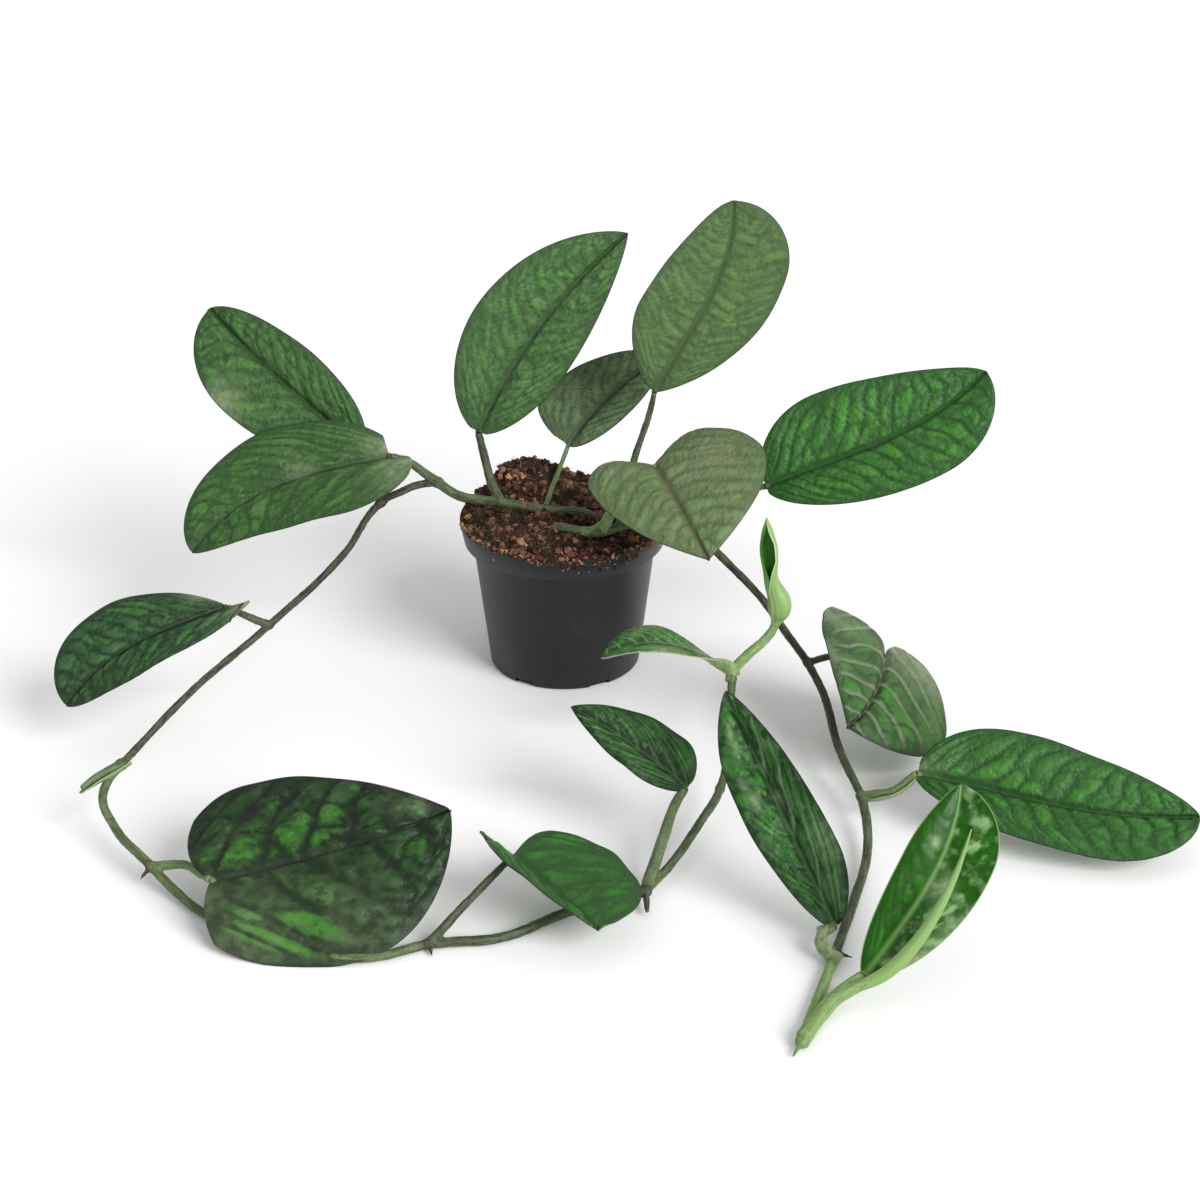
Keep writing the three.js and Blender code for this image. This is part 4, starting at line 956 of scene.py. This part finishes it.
# Each finish gives the leaf's colours, its amounts, how rough it is at least and at most, and its bump.
LEAF_FINISHES = {
    "emerald": (((40, 80, 34), (52, 100, 42), (62, 126, 40), (96, 132, 80), (32, 58, 28), (40, 54, 36),
                 (34, 40, 34)),
                (0.6, 0.0, 0.22, 0.16, 0.28, 0.7, 0.35), (0.4, 0.56), 0.5),
    "mottled": (((42, 72, 35), (57, 92, 45), (62, 118, 38), (98, 116, 80), (40, 50, 34), (44, 50, 38),
                 (36, 42, 36)),
                (0.45, -0.05, 0.4, 0.2, 0.3, 0.3, 0.8), (0.42, 0.56), 0.6),
    "dark": (((15, 31, 15), (28, 55, 25), (54, 116, 30), (84, 112, 68), (22, 32, 22), (26, 32, 27),
              (30, 36, 32)),
             (1.0, -0.1, 0.35, 0.6, 0.4, 0.6, 0.9), (0.38, 0.5), 0.2),
    "dusky": (((28, 52, 27), (44, 78, 42), (52, 96, 42), (104, 118, 96), (30, 42, 30), (34, 42, 34),
               (34, 40, 36)),
              (0.8, 0.0, 0.5, 0.2, 0.4, 0.4, 0.6), (0.42, 0.56), 0.6),
    "satin": (((42, 74, 36), (46, 90, 36), (48, 124, 25), (92, 120, 74), (34, 60, 30), (44, 64, 38),
               (34, 44, 34)),
              (0.55, 0.05, 0.3, 0.15, 0.3, 0.2, 0.6), (0.3, 0.42), 0.4),
    "mossy": (((54, 82, 46), (70, 106, 57), (72, 126, 50), (112, 136, 98), (46, 62, 42), (56, 68, 50),
               (50, 56, 50)),
              (0.6, 0.0, 0.4, 0.3, 0.35, 0.3, 0.6), (0.52, 0.66), 0.5),
    "olive": (((62, 86, 50), (78, 104, 60), (90, 118, 58), (112, 130, 90), (62, 82, 48), (66, 76, 52),
               (54, 58, 50)),
              (0.7, 0.0, 0.4, 0.35, 0.2, 0.4, 0.6), (0.54, 0.68), 0.4),
    # Darker than the blade's own grey-green: painted shade that offsets the sun falling full on this blade.
    "darkened_for_sun": (((42, 66, 34), (56, 94, 44), (54, 122, 32), (116, 120, 102), (116, 130, 104),
                   (84, 66, 58), (44, 46, 42)),
                  (0.7, 0.0, 0.4, 0.2, 0.4, 1.0, 0.1), (0.5, 0.64), 0.5),
    # The grey-pink tones are partly the older blade's own and partly painted glare.
    "grey": (((86, 104, 68), (102, 122, 82), (84, 124, 60), (134, 122, 106), (76, 86, 58), (92, 74, 60),
              (60, 62, 54)),
             (0.6, 0.0, 0.4, 0.35, 0.55, 0.6, 0.1), (0.56, 0.7), 0.45),
    # Lighter than the blade's own colour: painted light that offsets the shade that the leaves above cast on
    # this blade.
    "lightened_for_shade": (((66, 84, 57), (92, 114, 78), (76, 110, 58), (116, 128, 104), (46, 60, 40), (50, 56, 46),
                (48, 52, 48)),
               (0.5, 0.0, 0.5, 0.5, 0.35, 0.4, 0.2), (0.54, 0.68), 0.6),
    "veined": (((20, 50, 17), (44, 92, 34), (62, 126, 42), (106, 140, 98), (110, 146, 104), (84, 118, 74),
                (34, 44, 30)),
               (0.8, 0.0, 0.1, 0.8, 0.5, 1.0, 0.7), (0.3, 0.44), 0.45),
    "budding": (((17, 42, 15), (36, 76, 29), (54, 116, 36), (96, 130, 88), (98, 132, 92), (70, 102, 62),
                 (32, 42, 29)),
                (0.8, 0.0, 0.2, 0.3, 0.4, 0.8, 0.7), (0.34, 0.48), 0.4),
    "glossy": (((18, 68, 0), (24, 84, 0), (60, 136, 30), (142, 176, 122), (50, 110, 34), (110, 156, 84),
                (120, 148, 92)),
               (0.25, 0.0, 0.1, 1.2, 0.8, 0.3, 0.0), (0.28, 0.38), 0.06),
    "tender": (((26, 62, 20), (46, 104, 34), (56, 120, 38), (120, 142, 98), (112, 140, 96), (96, 126, 78),
                (150, 160, 132)),
               (0.4, 0.0, 0.2, 0.4, 0.4, 0.8, 0.0), (0.3, 0.42), 0.5),
    # Inside of a rolled leaf, lighter than its own green: painted light that offsets the shade inside the
    # roll.
    "furled": (((60, 124, 40), (64, 132, 44), (74, 144, 48), (120, 160, 96), (70, 130, 50), (64, 120, 44),
                (120, 150, 96)),
               (0.4, 0.0, 0.1, 0.0, 0.0, 0.0, 0.0), (0.3, 0.42), 0.1),
    "under": (((78, 100, 62), (92, 116, 74), (104, 130, 80), (122, 138, 104), (108, 128, 86),
               (112, 132, 90), (60, 66, 56)),
              (0.3, 0.0, 0.4, 0.4, 0.7, 0.5, 0.0), (0.54, 0.66), 0.4),
}


surface_group = leaf_surface()


def leaf_finish(kind):
    colours, amounts, rough, strength = LEAF_FINISHES[kind]
    material, tree, shader, place = new_material("leaf_" + kind)
    surface = add_node(tree, "ShaderNodeGroup", node_tree=surface_group)
    tree.links.new(place, surface.inputs["Place"])
    for name, value in zip(LEAF_COLOURS, colours):
        surface.inputs[name].default_value = colour(*value)
    for name, value in zip(LEAF_AMOUNTS, amounts):
        surface.inputs[name].default_value = value
    dress(tree, shader, surface.outputs["Color"], ramped(tree, surface.outputs["Gloss"], 0.35, 0.65, *rough),
          (surface.outputs["Height"], strength, 0.0022), 0.2)
    return material


def keel(leaf):
    """The stalk's joint behind the blade, which runs on as the raised midrib under it."""
    nearest = min(LEFT_VINE + RIGHT_VINE, key=lambda stretch: math.dist(stretch[3][-1], leaf["base"]))
    head, fresh, carrier = nearest[1:]
    along = np.array((0.02, 0.12, 0.3, 0.55, 0.8, 0.95))
    ahead = blade(leaf, along + 0.01, np.zeros(6))[0] - blade(leaf, along - 0.01, np.zeros(6))[0]
    sideways = blade(leaf, along, np.full(6, 0.05))[0] - blade(leaf, along, np.full(6, -0.05))[0]
    below = -unit(np.cross(sideways, ahead))
    girth = 0.55 + 0.45 * min(1, sum(leaf["half"]) / 70)
    radius = girth * np.array((1.9, 1.5, 1.2, 0.9, 0.6, 0.35))
    groove = leaf["puff"] * min(1, sum(leaf["half"]) / 62)
    sunk = blade(leaf, along, np.zeros(6))[0] + below * (radius + groove + 0.25)[:, None]
    mesh, _ = tube([head, *radius], [carrier[-1], *sunk.tolist()])
    mesh.polygons.foreach_set("material_index", [2] * len(mesh.polygons))
    mark(mesh, "fresh", [fresh] * len(mesh.vertices))
    return mesh


leaf_materials = {kind: leaf_finish(kind) for kind in LEAF_FINISHES}
for values in LEAVES:
    leaf = {**PLAIN_LEAF, **values}
    mesh, reach, s = leaf_mesh(leaf)
    skins = [leaf_materials[leaf["finish"]], leaf_materials["under"]]
    piece = add_piece(leaf["name"].replace("leaf_", "blade_"), mesh, skins, leaf["name"])
    ridge = piece.vertex_groups.new(name="ridge")
    thick = np.exp(-(reach / (1.5 * (1 - 0.8 * s) + 0.3)) ** 2) * (1 - s ** 3)
    for i, weight in enumerate(thick):
        if weight > 0.02:
            ridge.add([i], float(weight), "REPLACE")
    thicken(piece, 1.4, -1, vertex_group="ridge", thickness_vertex_group=0.35, use_quality_normals=True,
            material_offset=1, material_offset_rim=0)
    joined = bmesh.new()
    joined.from_mesh(piece.data)
    joined.from_mesh(keel(leaf))
    joined.to_mesh(piece.data)
    joined.free()
    piece.data.materials.append(stem_material)

# Furled new leaves
# The newest leaf at the end of each vine, still rolled into a spindle round its own midrib, pale
# green outside with the darker upper side just showing where the roll overlaps.
SHOOTS = [
    {"name": "shoot_left_vine", "girth": (2.2, 3.6, 6.2, 6.6, 4.9, 4.0, 4.9, 5.0, 3.4, 0.4), "seam": 0.2,
     "open": (0.44, 0.66, 3.0),
     "axis": ((115, -101, 71), (116.6, -100, 76), (117, -100, 85), (112.6, -100, 97), (111, -100, 110),
              (110, -100, 121),
              (109, -100, 134))},
    {"name": "shoot_right_vine", "girth": (1.8, 2.9, 3.4, 3.4, 3.1, 2.6, 2.1, 1.5, 0.8, 0.25), "seam": 0.9,
     "open": (0.9, 1.0, 0.0),
     "axis": ((136, -352, 8), (152, -351, 16), (165, -348, 29), (176, -344, 46), (185, -338, 65),
              (191, -332, 83))},
]


def shoot_mesh(shoot):
    mesh, flat = flat_sheet(shoot["name"], 56, 90, True)
    turn, share = (flat[:, 0] + 1) / 2, (flat[:, 1] + 1) / 2
    middle = smooth_line(shoot["axis"], share)
    tangent = route_ahead(shoot["axis"], share, 0.01)
    across = unit(np.cross(np.array((1.0, 0, 0)), tangent))
    other = np.cross(across, tangent)
    girth = np.maximum(smooth_line(shoot["girth"], share), 0.3)
    start, full, gape = shoot["open"]
    gap = -1.1 + gape * np.clip((share - start) / (full - start), 0, 1) * np.clip((1.03 - share) / 0.2, 0, 1)
    angle = shoot["seam"] + gap / 2 + turn * (2 * math.pi - gap)
    radius = girth * (0.9 + 0.1 * turn) - 0.2
    point = middle + across * (radius * np.cos(angle))[:, None] + other * (radius * np.sin(angle))[:, None]
    mesh.vertices.foreach_set("co", (point * MM).ravel())
    inner = np.clip((0.16 - turn) / 0.16, 0, 1)
    edge = np.clip((turn - 0.97) / 0.03, 0, 1)
    for name, values in (("inner", inner), ("edge", edge), ("share", share), ("turn", turn)):
        mark(mesh, name, values)
    return mesh


def shoot_finish():
    """Furled leaf: smooth pale green, with fine lengthwise veins and a greener inner fold."""
    material, tree, shader, place = new_material("shoot_skin")
    fine = speckle(tree, place, 420, 3)
    across = {"W": times(tree, carried(tree, "turn"), 46.0), "Scale": 1.0, "Detail": 1.0}
    lines = add_node(tree, "ShaderNodeTexNoise", across, noise_dimensions="1D").outputs["Fac"]
    skin = mixed(tree, ramped(tree, lines, 0.35, 0.65), colour(112, 148, 78), colour(130, 163, 95))
    foot = ramped(tree, carried(tree, "share"), 0.0, 0.35, 0.35, 0.0)
    skin = mixed(tree, foot, skin, colour(110, 146, 72))
    skin = mixed(tree, carried(tree, "inner"), skin, colour(56, 116, 40))
    skin = mixed(tree, carried(tree, "edge"), skin, colour(196, 214, 164))
    dress(tree, shader, skin, 0.46, (plus(tree, lines, times(tree, fine, 0.3)), 0.3, 0.0003))
    return material


shoot_material = shoot_finish()
for shoot in SHOOTS:
    skins = [shoot_material, leaf_materials["furled"]]
    name = shoot["name"].replace("shoot", "furled_leaf")
    piece = add_piece(name, shoot_mesh(shoot), skins, shoot["name"])
    thicken(piece, 0.55, 0, use_quality_normals=True, material_offset=1, material_offset_rim=0)

# Stage
# A plain white surface under soft studio light from the right and front, and the camera.
FLOOR_HALF = 6
SUN_POWER, SUN_SPREAD, SUN_FROM, SKY_POWER = 3.2, 34, (1, -1.05, 0.92), 0.68
LENS, CAMERA_AT, LOOKS_DOWN = 77.49, (0.0205, -1.3482, 0.7026), 26.3

bm = bmesh.new()
bmesh.ops.create_grid(bm, x_segments=1, y_segments=1, size=FLOOR_HALF)
floor = placed("floor", finished(bm, "floor"))
floor_material, tree, shader, place = new_material("white_surface")
shader.inputs["Base Color"].default_value = (0.9, 0.9, 0.9, 1)
shader.inputs["Roughness"].default_value = 0.8
floor.data.materials.append(floor_material)

sun = bpy.data.lights.new("softbox", "SUN")
sun.energy, sun.angle = SUN_POWER, math.radians(SUN_SPREAD)
placed("softbox", sun).rotation_euler = Vector(SUN_FROM).to_track_quat("Z", "Y").to_euler()
world = bpy.data.worlds.new("studio")
world.use_nodes = True
world.node_tree.nodes["Background"].inputs["Color"].default_value = (1, 1, 1, 1)
world.node_tree.nodes["Background"].inputs["Strength"].default_value = SKY_POWER
bpy.context.scene.world = world

camera = bpy.data.cameras.new("camera")
camera.sensor_fit, camera.sensor_width, camera.lens = "AUTO", 36, LENS
viewer = placed("camera", camera)
viewer.location = CAMERA_AT
viewer.rotation_euler = (math.radians(90 - LOOKS_DOWN), 0, 0)
bpy.context.scene.camera = viewer
bpy.context.scene.view_settings.view_transform = "Standard"
